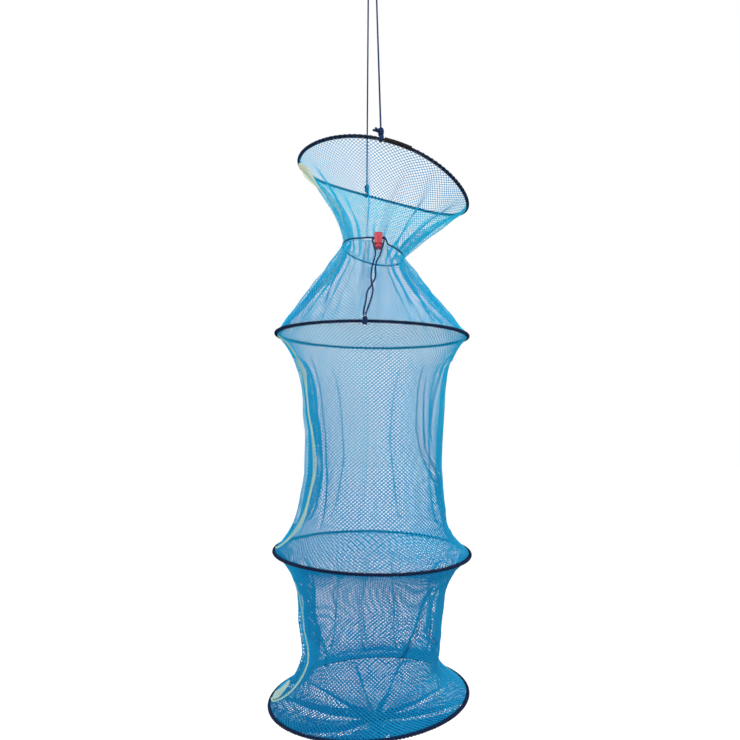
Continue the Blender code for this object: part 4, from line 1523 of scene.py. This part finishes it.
@dataclass
class Drawstring:
    """The cord round the neck, its two tails and the knot that ends them on the upper hoop.

    A tail's route gives shares of the way from the toggle to the knot, and how far to the right and outwards
    the tail lies there, in units of its sway.
    """

    toggle: Toggle
    diameter: float = 0.0028
    plaits: float = 0.00024
    left_run: float = 0.0085
    right_run: float = 0.0035
    opening: float = 52.0
    standoff: float = 0.004
    sway: float = 0.001
    knot_offset: float = -0.0115
    knot_width: float = 0.009
    knot_height: float = 0.016
    knot_turns: float = 3.2
    knot_slant: float = 0.0011
    end_radius: float = 0.0014
    hem_radius: float = 0.0035
    left_route: tuple[Triple, ...] = (
        (0.10, -5.5, 2.5),
        (0.22, -0.5, 1.5),
        (0.40, -2.0, 1.0),
        (0.54, -0.5, 1.5),
        (0.64, 3.0, 4.4),
        (0.72, 6.5, 2.5),
        (0.84, 5.5, 1.0),
        (0.93, 3.6, 1.5),
    )
    right_route: tuple[Triple, ...] = (
        (0.20, 7.5, -3.2),
        (0.32, 3.6, -1.0),
        (0.44, 4.2, 0.5),
        (0.54, 6.5, 1.0),
        (0.64, 2.0, -0.6),
        (0.72, -2.4, 0.0),
        (0.84, -1.8, 1.0),
        (0.93, -2.4, 1.0),
    )

    def build(self) -> None:
        """Makes the tails, the loop and the knot."""
        lane = self.toggle.lane()
        self.make_tail("left_tail", -1.0, lane, self.left_route)
        self.make_tail("right_tail", 1.0, -lane, self.right_route)
        self.make_loop()
        self.make_knot()

    def make_loop(self) -> None:
        """The loop round the neck, with its leads to the toggle."""
        place, lane = self.toggle.frame(), self.toggle.lane()
        side = self.toggle.width / 2 + 3 * GAP + self.toggle.loop_stop
        right = [place @ Vector((side + run, lane, 0.0)) for run in (0.0, self.right_run / 2, self.right_run)]
        left = [place @ Vector((-side - run, -lane, 0.0)) for run in (self.left_run, self.left_run / 2, 0.0)]
        half_open = math.radians(self.opening) / 2
        ring = NECK.at(np.linspace(FRONT + half_open, FRONT - half_open + FULL_TURN, 31))
        points = [*smooth_line([*right, ring[0]], 3)[:-1], *ring, *smooth_line([ring[-1], *left], 3)[1:]]
        line = spaced(smooth_line(points, 4), 0.0006)
        loop = sweep("drawstring_loop", line, self.diameter / 2, sides=12, plaits=self.plaits)
        settle(loop, CORD, Body.NECK, ["neck_drawstring"])

    def knot_centre(self) -> Vector:
        """The knot lies against the front of the upper hoop's hem."""
        front = UPPER.at(FRONT + self.knot_offset / UPPER.radius(), self.hem_radius)
        return Vector(front) + Vector((0.0, -GAP - self.knot_width / 2, 0.0))

    def make_tail(self, name: str, side: float, lane: float, route: tuple[Triple, ...]) -> None:
        """A tail: through the toggle's hole, down the front and into the knot.

        Args:
            name: The CAD node that it stands for.
            side: -1 for the left one and 1 for the right one.
            lane: How far back it lies in the hole.
            route: The points that it passes, as the class says.
        """
        place = self.toggle.frame()
        rim = self.toggle.width / 2
        knot_top = self.knot_centre() + Vector((0.0, 0.0, self.knot_height / 2 + 3 * GAP))
        head = place @ Vector((0.0, 0.0, -self.toggle.below * 0.35))
        outward = (place.to_3x3() @ Vector((0.0, -1.0, 0.0))).normalized()
        bend = self.diameter * 1.3
        through = (
            (-side * (rim + 2 * GAP + self.toggle.loop_stop), lane, 0.0),
            (0.0, lane, 0.0),
            (side * rim, lane, 0.0),
            (side * (rim + bend), 1.8 * lane, -bend * 0.6),
        )
        points = [place @ Vector(point) for point in through]
        for share, right, out in route:
            sideways = Vector((right * self.sway, 0.0, 0.0))
            points.append(head.lerp(knot_top, share) + sideways + outward * (out * self.sway + self.standoff))
        into = knot_top - Vector((side * 1.25 * self.toggle.lane(), 0.0, 0.0))
        points += [into + Vector((0.0, 0.0, self.diameter)), into]
        line = spaced(smooth_line(points, 6), 0.0005)
        tail = sweep(f"{name}_braid", line, self.diameter / 2, sides=12, plaits=self.plaits)
        settle(tail, CORD, Body.NECK, [name])
        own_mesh(tail)

    def make_knot(self) -> None:
        """Slanting turns drawn tight round the two tails, which end just under them."""
        centre = np.array(self.knot_centre())
        share = np.linspace(0.0, 1.0, 80)
        angle = FULL_TURN * self.knot_turns * share
        wide, high = self.knot_width / 2 - self.diameter * 0.3, self.knot_height / 2 - self.diameter / 2
        swell = wide * np.sin(math.pi * (0.12 + 0.76 * share)) ** 0.6
        rise = high * (0.86 - 1.6 * share) + self.knot_slant * np.cos(angle + 0.6)
        turns = wound(centre, swell, angle, rise)
        parts = [sweep("turns", turns, self.diameter * 0.53, sides=10, plaits=0.0002)]
        for side in (-0.0012, 0.0012):
            end = np.array([[side, 0, high], [side, 0, 0], [2 * side, -0.001, -high]])
            parts.append(sweep("end", centre + end, self.end_radius, sides=10))
        settle(join("tail_knot_turns", parts), CORD, Body.UPPER, ["tail_knot"])


def neck_pleats(turns: np.ndarray, from_neck: np.ndarray) -> np.ndarray:
    """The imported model's soft pleats beside the drawstring."""
    reach = from_neck / 0.16
    return 0.0022 * reach * np.exp(1.0 - reach) * np.cos(10 * turns)


def bag_folds(turns: np.ndarray, t: np.ndarray) -> np.ndarray:
    """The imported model's long soft folds down a bag.

    Args:
        turns: Angles round the net.
        t: Shares of the way down.

    Returns:
        How far the netting stands out there.
    """
    swell = np.sin(math.pi * np.clip(t, 0.0, 1.0)) ** 0.8
    wander = np.sin(5 * turns + 1.1 * np.sin(FULL_TURN * t))
    slack = 0.3 + 0.7 * np.cos(turns) ** 2
    return 0.0055 * slack * swell * wander * (0.7 + 0.3 * np.cos(3 * turns + 0.8))


def left_side(t: np.ndarray) -> np.ndarray:
    """The angle of the net's left side at every level."""
    return 180.0 + 0.0 * t


def rod_on(name: str, ring: Ring, radius: float, body: Body, node: str) -> None:
    """A hoop's rod, from a torus whose points are moved to its ring.

    Args:
        name: The piece's name.
        ring: The ring that it follows.
        radius: Its radius.
        body: The body that it rides on.
        node: The CAD node that it stands for.
    """
    deselect_all()
    bpy.ops.mesh.primitive_torus_add(
        major_radius=ring.radius(),
        minor_radius=radius,
        major_segments=200,
        minor_segments=14,
        location=(0.0, 0.0, 0.0),
    )
    rod = bpy.context.object
    rod.name = rod.data.name = name
    places = np.empty(len(rod.data.vertices) * 3)
    rod.data.vertices.foreach_get("co", places)
    x, y, z = places.reshape(-1, 3).T
    moved = ring.at(np.arctan2(y, x), np.hypot(x, y) - ring.radius(), z)
    rod.data.vertices.foreach_set("co", moved.astype(np.float32).ravel())
    rod.data.update()
    bpy.ops.object.shade_smooth()
    rod.select_set(False)
    settle(rod, CoatedRod(), body, [node])


@dataclass
class Seam:
    """The side seam: a zigzag of lime thread, and the netting's two edges standing out as a narrow fin."""

    netting: Netting
    node: str
    body: Body
    degrees: Change = left_side
    fin: float = 0.009
    lay: float = 0.0
    taper: float = 0.0
    swells: tuple[float, ...] = ()
    finish: Finish = SELVAGE
    crossing: Crossing | None = None
    step: float = 0.0008
    thread: float = 0.0009
    stitch: float = 0.0030
    zigzag: float = 0.0016
    standoff: float = 0.0006
    laid_way: Triple = (0.46, -0.89, 0.0)
    fin_levels: int = 4
    fin_strand: float = 0.00042
    edge: float = 0.0007
    band_levels: int = 6
    band_strand: float = 0.00075
    band_standoff: float = 0.0014

    def build(self) -> list[Any]:
        """Makes the thread and the fin.

        Returns:
            Both pieces.
        """
        points, out = self.netting.line_at(self.degrees, self.standoff)
        fine = spaced(smooth_line(points, 3), self.step)
        rows = np.linspace(0, len(out) - 1, len(fine))
        low = np.floor(rows).astype(int)
        high = np.minimum(low + 1, len(out) - 1)
        ways = unit(out[low] + (out[high] - out[low]) * (rows - low)[:, None])
        beside = np.cross(unit(np.gradient(fine, axis=0)), ways)
        run = np.arange(len(fine)) * self.step
        swing = 2 / math.pi * np.arcsin(np.sin(FULL_TURN * run / self.stitch))
        line = fine + beside * (swing * self.zigzag)[:, None] + ways * 0.0004
        thread = sweep(f"{self.node}_stitches", line, self.thread / 2, sides=5)
        settle(thread, THREAD, self.body, [self.node], self.crossing)
        return [thread, self.make_fin(fine, ways, beside, run)]

    def make_fin(self, fine: np.ndarray, ways: np.ndarray, beside: np.ndarray, run: np.ndarray) -> Any:
        """The fin: two slants of pale strands between the seam and its free edge, which ruffles.

        Args:
            fine: The seam's line.
            ways: The outward direction at each of its points.
            beside: The direction along the netting there.
            run: The length there.

        Returns:
            The dressed fin.
        """
        fade = np.clip(np.minimum(run, run[-1] - run) / 0.02, 0.15, 1.0)
        reach = self.fin * fade * (0.88 + 0.12 * np.sin(FULL_TURN * run / 0.093))
        reach *= np.clip(1.0 - self.taper * run / run[-1], 0.12, 1.0)
        if self.swells:
            share = run / run[-1]
            reach *= 0.22 + 0.78 * sum(np.exp(-(((share - place) / 0.08) ** 2)) for place in self.swells)
        ruffle = 0.2 * np.sin(FULL_TURN * run / 0.031) + 0.25 * np.sin(FULL_TURN * run / 0.073 + 1.0)
        wave = ruffle[:, None]
        laid = np.array(self.laid_way) + 0.3 * beside * wave
        edge_way = (ways + beside * wave) * (1.0 - self.lay) + laid * self.lay
        shares = np.arange(self.fin_levels + 1)[:, None] / self.fin_levels
        grid = fine + edge_way * (reach * shares)[..., None]
        edge = grid[-1] + ways * (0.0006 * np.sin(FULL_TURN * run / 0.0032))[:, None]
        pieces = [*lattice(grid, 3, self.fin_strand), sweep("edge", edge, self.edge, sides=5)]
        return settle(join(f"{self.node}_fin", pieces), self.finish, self.body, crossing=self.crossing)

    def make_band(self, widths: Course, name: str) -> Any:
        """A pale woven band on the netting's outside, from the seam towards the front.

        Args:
            widths: Its width in degrees at shares of the way down, from its upper end to its lower one.
            name: The piece's name.

        Returns:
            The dressed band.
        """

        def shifted(level: int) -> Change:
            """The angles of one of the band's lines."""
            return lambda t: self.degrees(t) + np.interp(t, *zip(*widths)) * level / self.band_levels

        levels = range(self.band_levels + 1)
        lines = [self.netting.line_at(shifted(level), self.band_standoff)[0] for level in levels]
        begin, end = np.searchsorted(self.netting.levels, (widths[0][0], widths[-1][0]))
        strands = lattice(np.stack(lines)[:, begin : end + 1], 1, self.band_strand)
        return settle(join(name, strands), self.finish, self.body, crossing=self.crossing)


@dataclass
class Mouth:
    """The mouth hoop, its sleeve and lashing, and the funnel of netting under it."""

    bail: Bail
    rod: float = 0.0021
    sleeve_length: float = 0.046
    sleeve_wall: float = 0.0014
    sleeve_rings: int = 24
    lip: float = 0.0004
    lip_swell: float = 0.05
    rim: float = 0.0007
    bore_inset: float = 0.0008
    bore_depth: float = 0.0012
    lashing: float = 0.0010
    lashing_lead: float = math.radians(-117.0)
    seat: float = 0.0029
    selvage: float = 0.0007
    group: float = 0.0092
    wraps: int = 4

    def build(self) -> None:
        """Makes the hoop and what it carries."""
        rod_on("mouth_rod", MOUTH, self.rod, Body.MOUTH, "mouth_hoop")
        self.make_sleeve()
        self.make_lashings()
        self.make_funnel()

    def sleeve_span(self) -> tuple[float, float]:
        """The angles at which the sleeve starts and ends."""
        start = math.radians(self.bail.front_degrees) + 1.25 * self.bail.hitch_radius / MOUTH.radius()
        return start, start + self.sleeve_length / MOUTH.radius()

    def make_sleeve(self) -> None:
        """A tube with rolled lips, bent round the hoop."""
        start, end = self.sleeve_span()
        outer = self.rod + GAP + self.sleeve_wall
        deselect_all()
        bpy.ops.mesh.primitive_cylinder_add(
            vertices=32,
            radius=outer,
            depth=self.sleeve_length,
            end_fill_type="NGON",
            location=(0.0, 0.0, 0.0),
        )
        sleeve = bpy.context.object
        sleeve.name = sleeve.data.name = "hoop_sleeve"
        rim = (bpy.ops.mesh.inset, {"thickness": self.rim, "depth": 0.0})
        bore = (bpy.ops.mesh.inset, {"thickness": self.bore_inset, "depth": -self.bore_depth})
        edit(sleeve, "FACE", is_end, rim, bore)
        cuts = []
        for level in np.linspace(-self.sleeve_length / 2, self.sleeve_length / 2, self.sleeve_rings)[1:-1]:
            cuts.append((bpy.ops.mesh.select_all, {"action": "SELECT"}))
            cuts.append((bpy.ops.mesh.bisect, {"plane_co": (0.0, 0.0, float(level)), "plane_no": UP}))
        edit(sleeve, "FACE", any_part, *cuts)
        bevel = sleeve.modifiers.new("lips", "BEVEL")
        bevel.width, bevel.segments = self.lip, 3
        bevel.limit_method, bevel.angle_limit = "ANGLE", math.radians(50.0)
        make_active(sleeve)
        bpy.ops.object.modifier_apply(modifier=bevel.name)
        for corner in sleeve.data.vertices:
            share = corner.co.z / self.sleeve_length + 0.5
            swell = 1.0 + self.lip_swell * sum(math.exp(-((share - lip) / 0.03) ** 2) for lip in (0.02, 0.98))
            turn = start + (end - start) * share
            corner.co = Vector(MOUTH.at(turn, corner.co.x * swell, corner.co.y * swell))
        merge = (bpy.ops.mesh.remove_doubles, {"threshold": 0.00001})
        edit(sleeve, "FACE", any_part, merge, (bpy.ops.mesh.normals_make_consistent, {"inside": False}))
        bpy.ops.object.shade_smooth_by_angle(angle=math.radians(40.0))
        sleeve.select_set(False)
        settle(sleeve, SleeveRubber(), Body.MOUTH, ["mouth_hoop_sleeve"])

    def make_lashings(self) -> None:
        """Two runs of cord wound round the rod and the netting's edge, drawn up into small bunches."""
        keep_off = (self.bail.hitch_radius + 0.004) / MOUTH.radius()
        back = math.radians(self.bail.back_degrees)
        front = math.radians(self.bail.front_degrees) + FULL_TURN
        after_sleeve = self.sleeve_span()[1] + 0.003 / MOUTH.radius()
        for name, start, end in (
            ("right_lashing", after_sleeve, back - keep_off),
            ("left_lashing", back + keep_off, front - keep_off),
        ):
            groups = round((end - start) * MOUTH.radius() / self.group)
            share = np.linspace(0.0, 1.0, groups * self.wraps * 14 + 1)
            angle = self.lashing_lead + FULL_TURN * self.wraps * groups * share
            thick = self.lashing / 2 * (0.62 + 0.38 * np.abs(np.cos(math.pi * groups * share)) ** 6)
            lean = np.clip(np.cos(angle - self.lashing_lead), 0.0, 1.0) ** 1.5
            reach = self.rod + thick + 0.00015 + 0.5 * (self.seat - self.rod) * lean
            bunched = share - 0.6 * np.sin(FULL_TURN * groups * share) / (FULL_TURN * groups)
            line = MOUTH.at(start + (end - start) * bunched, reach * np.cos(angle), reach * np.sin(angle))
            settle(sweep(f"{name}_cord", line, thick, sides=7), LASHING, Body.MOUTH, [name])
        turns = np.linspace(0.0, FULL_TURN, 260, endpoint=False)
        line = MOUTH.at(turns, -0.45 * self.seat + 0.0002 * np.sin(90 * turns), -0.89 * self.seat)
        settle(sweep("mouth_selvage", line, self.selvage, sides=7, closed=True), LASHING, Body.MOUTH)

    def make_funnel(self) -> None:
        """The netting from the hoop to the drawstring, and its seam."""
        law = tube_law(
            lambda turns: MOUTH.at(turns, -0.45 * self.seat, -0.89 * self.seat),
            lambda turns: NECK.at(turns, 0.0, 0.0012),
            lambda turns, t: neck_pleats(turns, 1.0 - t),
            narrowing=lambda turns: 1.35 - 0.25 * np.cos(turns),
        )
        pleats = long_pleats(
            (180, 180, 34, 3, 1.0),
            (-104, -108, 9, 1, 0.9),
            (-70, -78, 10, 1, 0.8),
            (-52, -36, 12, 1, 1.0),
            (2, -4, 30, 3, 1.0),
            (50, 50, 14, 2, 0.9),
            (92, 88, 16, 2, 0.9),
            (132, 130, 14, 2, 0.9),
        )
        funnel = Netting(
            "mouth_funnel_netting",
            law,
            rows=29,
            cloth=1.03,
            pleats=pleats,
            fullness=lambda t: 1.0 - 0.46 * t**2,
            deepest=lambda t: 0.020 * np.clip(t * 1.6, 0.05, 1.0),
            strand=(0.00088, 0.00064),
            seed=3,
        )
        crossing = Crossing(Body.NECK, (-0.1162, 0.0, -0.4337), (-0.1457, 0.0, -0.5438))
        funnel.hang(Body.MOUTH, "mouth_netting", "mouth_selvage", crossing)
        seam = Seam(funnel, "mouth_seam", Body.MOUTH, finish=CREAM_SELVAGE, crossing=crossing)
        widths = ((0.0, 5.0), (0.04, 12.0), (0.12, 16.0), (0.25, 12.0), (0.4, 8.0), (0.7, 5.0), (1.0, 3.0))
        seam.make_band(widths, "mouth_seam_band")
        seam.build()


@dataclass
class Hoop:
    """A round hoop in its hem of folded netting, with the whip stitches that close it."""

    name: str
    ring: Ring
    body: Body
    rod: float = 0.0021
    hem: float = 0.00225
    hem_sides: int = 14
    bulge: float = 0.00006
    pinch: float = 0.0003
    stitch: float = 0.0012
    pitch: float = 0.0062

    def build(self) -> None:
        """Makes the rod, the hem and its stitches."""
        rod_on(f"{self.name}_rod", self.ring, self.rod, self.body, f"{self.name}_hoop")
        turns = np.linspace(0.0, FULL_TURN, 720, endpoint=False)[:, None]
        angles = FULL_TURN * np.arange(self.hem_sides) / self.hem_sides
        draw = np.random.default_rng(len(self.name))
        bulge = sum(
            np.sin(count * turns + draw.uniform(0, FULL_TURN) + around * angles)
            for count, around in ((37, 1), (61, 2), (113, 1), (167, 3))
        )
        girth = FULL_TURN * self.ring.radius()
        stitches = round(girth / self.pitch)
        reach = self.hem + self.bulge * bulge + self.pinch * np.cos(stitches * turns - angles)
        rings = self.ring.at(turns, reach * np.cos(-angles), reach * np.sin(-angles))
        hem = grid_piece(f"{self.name}_hem_netting", rings, np.linspace(0.0, girth, len(turns) + 1), True)
        settle(hem, HemFabric(), self.body, [f"{self.name}_hem"])
        turns = FULL_TURN * np.arange(stitches * 12) / (stitches * 12)
        winding = stitches * turns
        slack = self.hem + self.stitch * 0.4
        lean = 0.25 * FULL_TURN / stitches * np.sin(winding)
        line = self.ring.at(turns + lean, slack * np.cos(winding), slack * np.sin(winding))
        cord = sweep(f"{self.name}_whip_stitches", line, self.stitch / 2, sides=5, closed=True)
        settle(cord, STITCH, self.body)


@dataclass
class Cone:
    """The netting from the drawstring to the upper hoop."""

    seat: float = 0.0030
    fin: float = 0.013

    def build(self) -> None:
        """Makes the netting and its seam."""
        law = tube_law(
            lambda turns: NECK.at(turns, 0.0, -0.0012),
            lambda turns: UPPER.at(turns, -0.6 * self.seat, 0.8 * self.seat),
            neck_pleats,
        )
        pleats = long_pleats(
            (180, 182, 30, 3, 1.0),
            (-143, -122, 8, 1, 0.8),
            (-101, -93, 9, 1, 1.0),
            (-78, -80, 10, 1, 0.5),
            (-60, -64, 8, 1, 0.7),
            (-42, -53, 8, 1, 0.9),
            (-2, -2, 30, 3, 1.0),
            (45, 45, 12, 2, 0.8),
            (78, 80, 11, 1, 0.9),
            (104, 108, 11, 1, 0.9),
            (137, 133, 12, 2, 0.8),
        )
        cone = Netting(
            "neck_cone_netting",
            law,
            rows=33,
            cloth=1.08,
            pleats=pleats,
            fullness=lambda t: 1.0 - 0.46 * (1.0 - t) ** 2,
            deepest=lambda t: 0.020 * np.clip((1.0 - t) * 1.5, 0.05, 1.0),
            strand=(0.00060, 0.00100),
            seed=5,
        )
        crossing = Crossing(Body.UPPER, (0.0, 0.0, -0.6075), (0.0, 0.0, -0.7405))
        cone.hang(Body.NECK, "neck_netting", "upper_hem_netting", crossing)
        Seam(cone, "neck_seam", Body.NECK, fin=self.fin, taper=1.3, crossing=crossing).build()


@dataclass
class Bag:
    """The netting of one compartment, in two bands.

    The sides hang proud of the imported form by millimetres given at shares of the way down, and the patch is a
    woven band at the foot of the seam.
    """

    name: str
    top: Hoop
    foot: Hoop
    keep: float
    waist: float
    rows: int
    strand: tuple[float, ...]
    pleats: tuple[Pleats, ...]
    left: Course
    right: Course
    seam_wander: float
    swells: tuple[float, ...]
    front_weight: float
    seed: int
    patch: Course = ()
    patch_degrees: float = 173.0
    seat: float = 0.0030
    fin: float = 0.016
    crumple: float = 0.0003

    def drape(self, turns: np.ndarray, t: np.ndarray) -> np.ndarray:
        """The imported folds, and how far the sides hang proud of them.

        Args:
            turns: Angles round the net.
            t: Shares of the way down.

        Returns:
            How far the netting stands out there.
        """
        side = np.cos(turns)
        left, right = (np.interp(t, *zip(*line)) * 0.001 for line in (self.left, self.right))
        packed = bag_folds(turns, t)
        return packed + right * np.clip(side, 0.0, 1.0) ** 2 + left * np.clip(-side, 0.0, 1.0) ** 2

    def build(self) -> None:
        """Makes the netting in two bands, and its seam."""
        law = tube_law(
            lambda turns: self.top.ring.at(turns, -0.8 * self.seat, -0.6 * self.seat),
            lambda turns: self.foot.ring.at(turns, -0.8 * self.seat, 0.6 * self.seat),
            self.drape,
            waist=self.waist,
        )
        bag = Netting(
            f"{self.name}_bag",
            law,
            rows=self.rows,
            cloth=1.085,
            pleats=self.pleats,
            fullness=lambda t: 0.83 + 0.0 * t,
            deepest=lambda t: 0.030 * np.clip(turn_back(t, 2.0) * 1.6, 0.02, 1.0),
            strand=self.strand,
            seed=self.seed,
            front_weight=self.front_weight,
            crumple=self.crumple,
        )
        pieces = bag.build(2)
        size = (MESH_WIDTH, round(bag.drop_length / 2, 3))
        for piece, hoop, other in zip(pieces, (self.top, self.foot), reversed(pieces)):
            settle(piece, YARN, self.top.body, [f"{self.name}_netting"])
        node = f"{self.name}_seam"
        seam = Seam(bag, node, self.top.body, self.seam_line, self.fin, lay=1.0, swells=self.swells)
        pieces += seam.build()
        if self.patch:
            patch = Seam(bag, "", self.top.body, lambda t: self.patch_degrees + 0.0 * t)
            pieces.append(patch.make_band(self.patch, f"{node}_band"))
        for piece in pieces:
            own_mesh(piece)

    def seam_line(self, t: np.ndarray) -> np.ndarray:
        """The seam's angle, which wanders from the left towards the front."""
        return 180.0 + self.seam_wander * np.sin(math.pi * t) ** 0.4


@dataclass
class Base:
    """The base: netting drawn in from the bottom hoop to a gather, with its tie and a small loop."""

    seat: float = 0.0029
    seat_drop: float = 0.0022
    sag: float = 0.046
    offset: float = 0.009
    hang: float = 0.010
    gather: float = 0.009
    tail: float = 0.014
    split: float = 0.9
    tie: float = 0.0025
    tie_turns: float = 2.9
    tie_height: float = 0.0036
    loop_length: float = 0.016

    def centre(self) -> np.ndarray:
        """The middle of the gathered netting."""
        return np.array(BOTTOM.matrix() @ Vector((self.offset, 0.0, -self.sag)))

    def law(self, turns: np.ndarray, t: np.ndarray) -> np.ndarray:
        """The form from the hoop to the gather, through the tie and out to the free edge.

        Args:
            turns: Angles round the net.
            t: Shares of the way down.

        Returns:
            The points.
        """
        turns, t = np.broadcast_arrays(turns, t)
        centre = self.centre()
        rim = BOTTOM.at(turns, -self.seat, -self.seat_drop)
        share = np.clip(t / self.split, 0.0, 1.0)
        below = np.clip((t - self.split) / (1.0 - self.split), 0.0, 1.0)
        radius = self.gather * np.interp(below, [0.0, 0.5, 1.0], [1.0, 0.72, 1.25])
        drawn = centre + level_ways(turns) * radius[..., None]
        point = rim + (drawn - rim) * (1.0 - (1.0 - share) ** 1.1)[..., None]
        fall = self.hang * np.sin(math.pi * share) + self.tail * below
        point[..., 2] = rim[..., 2] + (centre[2] - rim[..., 2]) * share - fall
        return point

    def build(self) -> None:
        """Makes the netting, the tie and the loop."""
        pleats = long_pleats(
            (62, 60, 9, 1, 1.2),
            (104, 100, 6, 1, 0.8),
            (14, 14, 6, 1, 0.6),
            (-22, -20, 6, 1, 0.7),
            (-78, -80, 8, 1, 0.8),
            (-128, -124, 8, 1, 0.8),
            (180, 180, 9, 1, 1.1),
            (146, 144, 8, 1, 0.8),
        )
        base = Netting(
            "base_gathered_netting",
            self.law,
            rows=33,
            cloth=1.085,
            pleats=pleats,
            fullness=lambda t: 1.0 - 0.85 * t,
            deepest=lambda t: 0.016 * np.clip(turn_back(t, 3.0) * 1.5, 0.05, 1.0),
            strand=(0.00139, 0.00092),
            seed=11,
            strands=170,
        )
        base.hang(Body.BOTTOM, "base_netting", "bottom_hem_netting")
        self.make_tie()

    def make_tie(self) -> None:
        """Turns of cord round the gather, and the loop of its ends."""
        centre = self.centre() - np.array([0.0, 0.0, self.tail / 2])
        radius = 0.75 * self.gather + 0.0006 + 4 * GAP + self.tie / 2
        share = np.linspace(0.0, 1.0, 90)
        line = wound(centre, radius, FULL_TURN * self.tie_turns * share, (share - 0.5) * self.tie_height)
        tie = sweep("gather_tie", line, self.tie * 0.46, sides=9, plaits=0.00018)
        settle(tie, CORD, Body.BOTTOM, ["base_tie"])
        half = self.loop_length / 2
        turns = np.linspace(0.0, FULL_TURN, 48, endpoint=False)
        away = half * (1.0 - np.cos(turns))
        line = np.stack([self.tie / 2 + away, -0.35 * half * np.sin(turns), -0.5 * away], axis=1)
        line = line + centre + np.array([radius + self.tie / 2 + GAP, 0.0, 0.0])
        loop = sweep("gather_loop", line, self.tie * 0.4, sides=9, closed=True, plaits=0.00016)
        settle(loop, CORD, Body.BOTTOM, ["base_loop"])


UPPER_FOLDS = (
    *long_pleats((176, 170, 28, 3, 1.0), (10, 14, 22, 2, 0.55)),
    Pleats(((0.16, -139), (0.3, -136), (0.45, -133), (0.83, -131)), 4.4, 1, 0.34, 0.3),
    Pleats(((0.2, -49), (0.43, -51), (0.55, -46), (0.68, -29), (0.85, -18)), 4.4, 1, 0.3, 0.3),
    Pleats(((0.25, -44), (0.52, -43), (0.67, -20)), 3.0, 1, 0.25, 0.3),
    Pleats(((0.1, -18), (0.3, -28), (0.43, -34)), 3.4, 1, 0.35, 0.3),
    Pleats(((0.25, -86), (0.82, -88)), 2.6, 1, 0.08, 0.5),
    Pleats(((0.0, 62), (0.5, 70), (1.0, 64)), 4.0, 1, 0.35),
    Pleats(((0.0, 95), (1.0, 99)), 4.0, 1, 0.25),
    Pleats(((0.1, 128), (0.6, 120), (0.9, 126)), 4.0, 1, 0.35),
)
LOWER_FOLDS = (
    *long_pleats((172, 172, 26, 3, 1.0), (12, 12, 20, 2, 0.5)),
    Pleats(((0.3, -141), (0.47, -134), (0.61, -127)), 3.4, 1, 0.35, 0.3),
    Pleats(((0.2, -36), (0.34, -45), (0.48, -53), (0.61, -64)), 3.6, 1, 0.4, 0.3),
    Pleats(((0.12, -24), (0.36, -30), (0.5, -38), (0.63, -26)), 3.4, 1, 0.35, 0.3),
    Pleats(((0.0, 70), (1.0, 62)), 4.0, 1, 0.3),
    Pleats(((0.0, 92), (0.5, 99), (1.0, 92)), 4.0, 1, 0.3),
    Pleats(((0.0, 122), (1.0, 130)), 4.0, 1, 0.3),
)


def main() -> None:
    """Builds the studio, then the keepnet from its cords down."""
    logging.basicConfig(level=logging.INFO, format="%(name)s: %(message)s")
    Studio().build()
    bail, toggle = Bail(), Toggle()
    bail.build()
    Drawstring(toggle).build()
    toggle.build()
    Mouth(bail).build()
    upper, middle = Hoop("upper", UPPER, Body.UPPER), Hoop("middle", MIDDLE, Body.MIDDLE)
    bottom = Hoop("bottom", BOTTOM, Body.BOTTOM)
    for hoop in (upper, middle, bottom):
        hoop.build()
    Cone().build()
    Bag(
        "upper",
        upper,
        middle,
        keep=0.083,
        waist=0.051,
        rows=71,
        strand=(0.00076, 0.00100, 0.00106, 0.00111, 0.00119, 0.00100),
        pleats=UPPER_FOLDS,
        left=(
            *((0.0, 0.0), (0.15, 6.0), (0.38, 6.0), (0.46, 1.0)),
            *((0.65, -1.0), (0.75, 3.0), (0.95, 1.5), (1.0, 0.0)),
        ),
        right=(
            *((0.0, 0.0), (0.1, 4.0), (0.2, 8.0), (0.45, 9.0), (0.65, 10.0)),
            *((0.8, 8.0), (0.86, 2.0), (0.93, -3.0), (1.0, 0.0)),
        ),
        seam_wander=32.0,
        swells=(0.22, 0.56, 0.80),
        front_weight=0.55,
        seed=7,
    ).build()
    Bag(
        "lower",
        middle,
        bottom,
        keep=0.143,
        waist=0.052,
        rows=49,
        strand=(0.00143, 0.00148, 0.00160),
        pleats=LOWER_FOLDS,
        left=(
            *((0.0, 0.0), (0.08, 8.0), (0.16, 13.0), (0.3, 12.0), (0.48, 9.0)),
            *((0.6, 1.0), (0.7, -4.0), (0.85, 0.0), (1.0, 0.0)),
        ),
        right=(
            *((0.0, 0.0), (0.06, 8.0), (0.14, 11.0), (0.3, 8.0)),
            *((0.6, 11.0), (0.7, 7.0), (0.8, -3.0), (1.0, 0.0)),
        ),
        seam_wander=26.0,
        swells=(0.30,),
        front_weight=0.12,
        seed=9,
        patch=((0.86, 1.0), (0.91, 12.0), (0.96, 16.0), (0.99, 12.0)),
    ).build()
    Base().build()


if __name__ == "__main__":
    main()
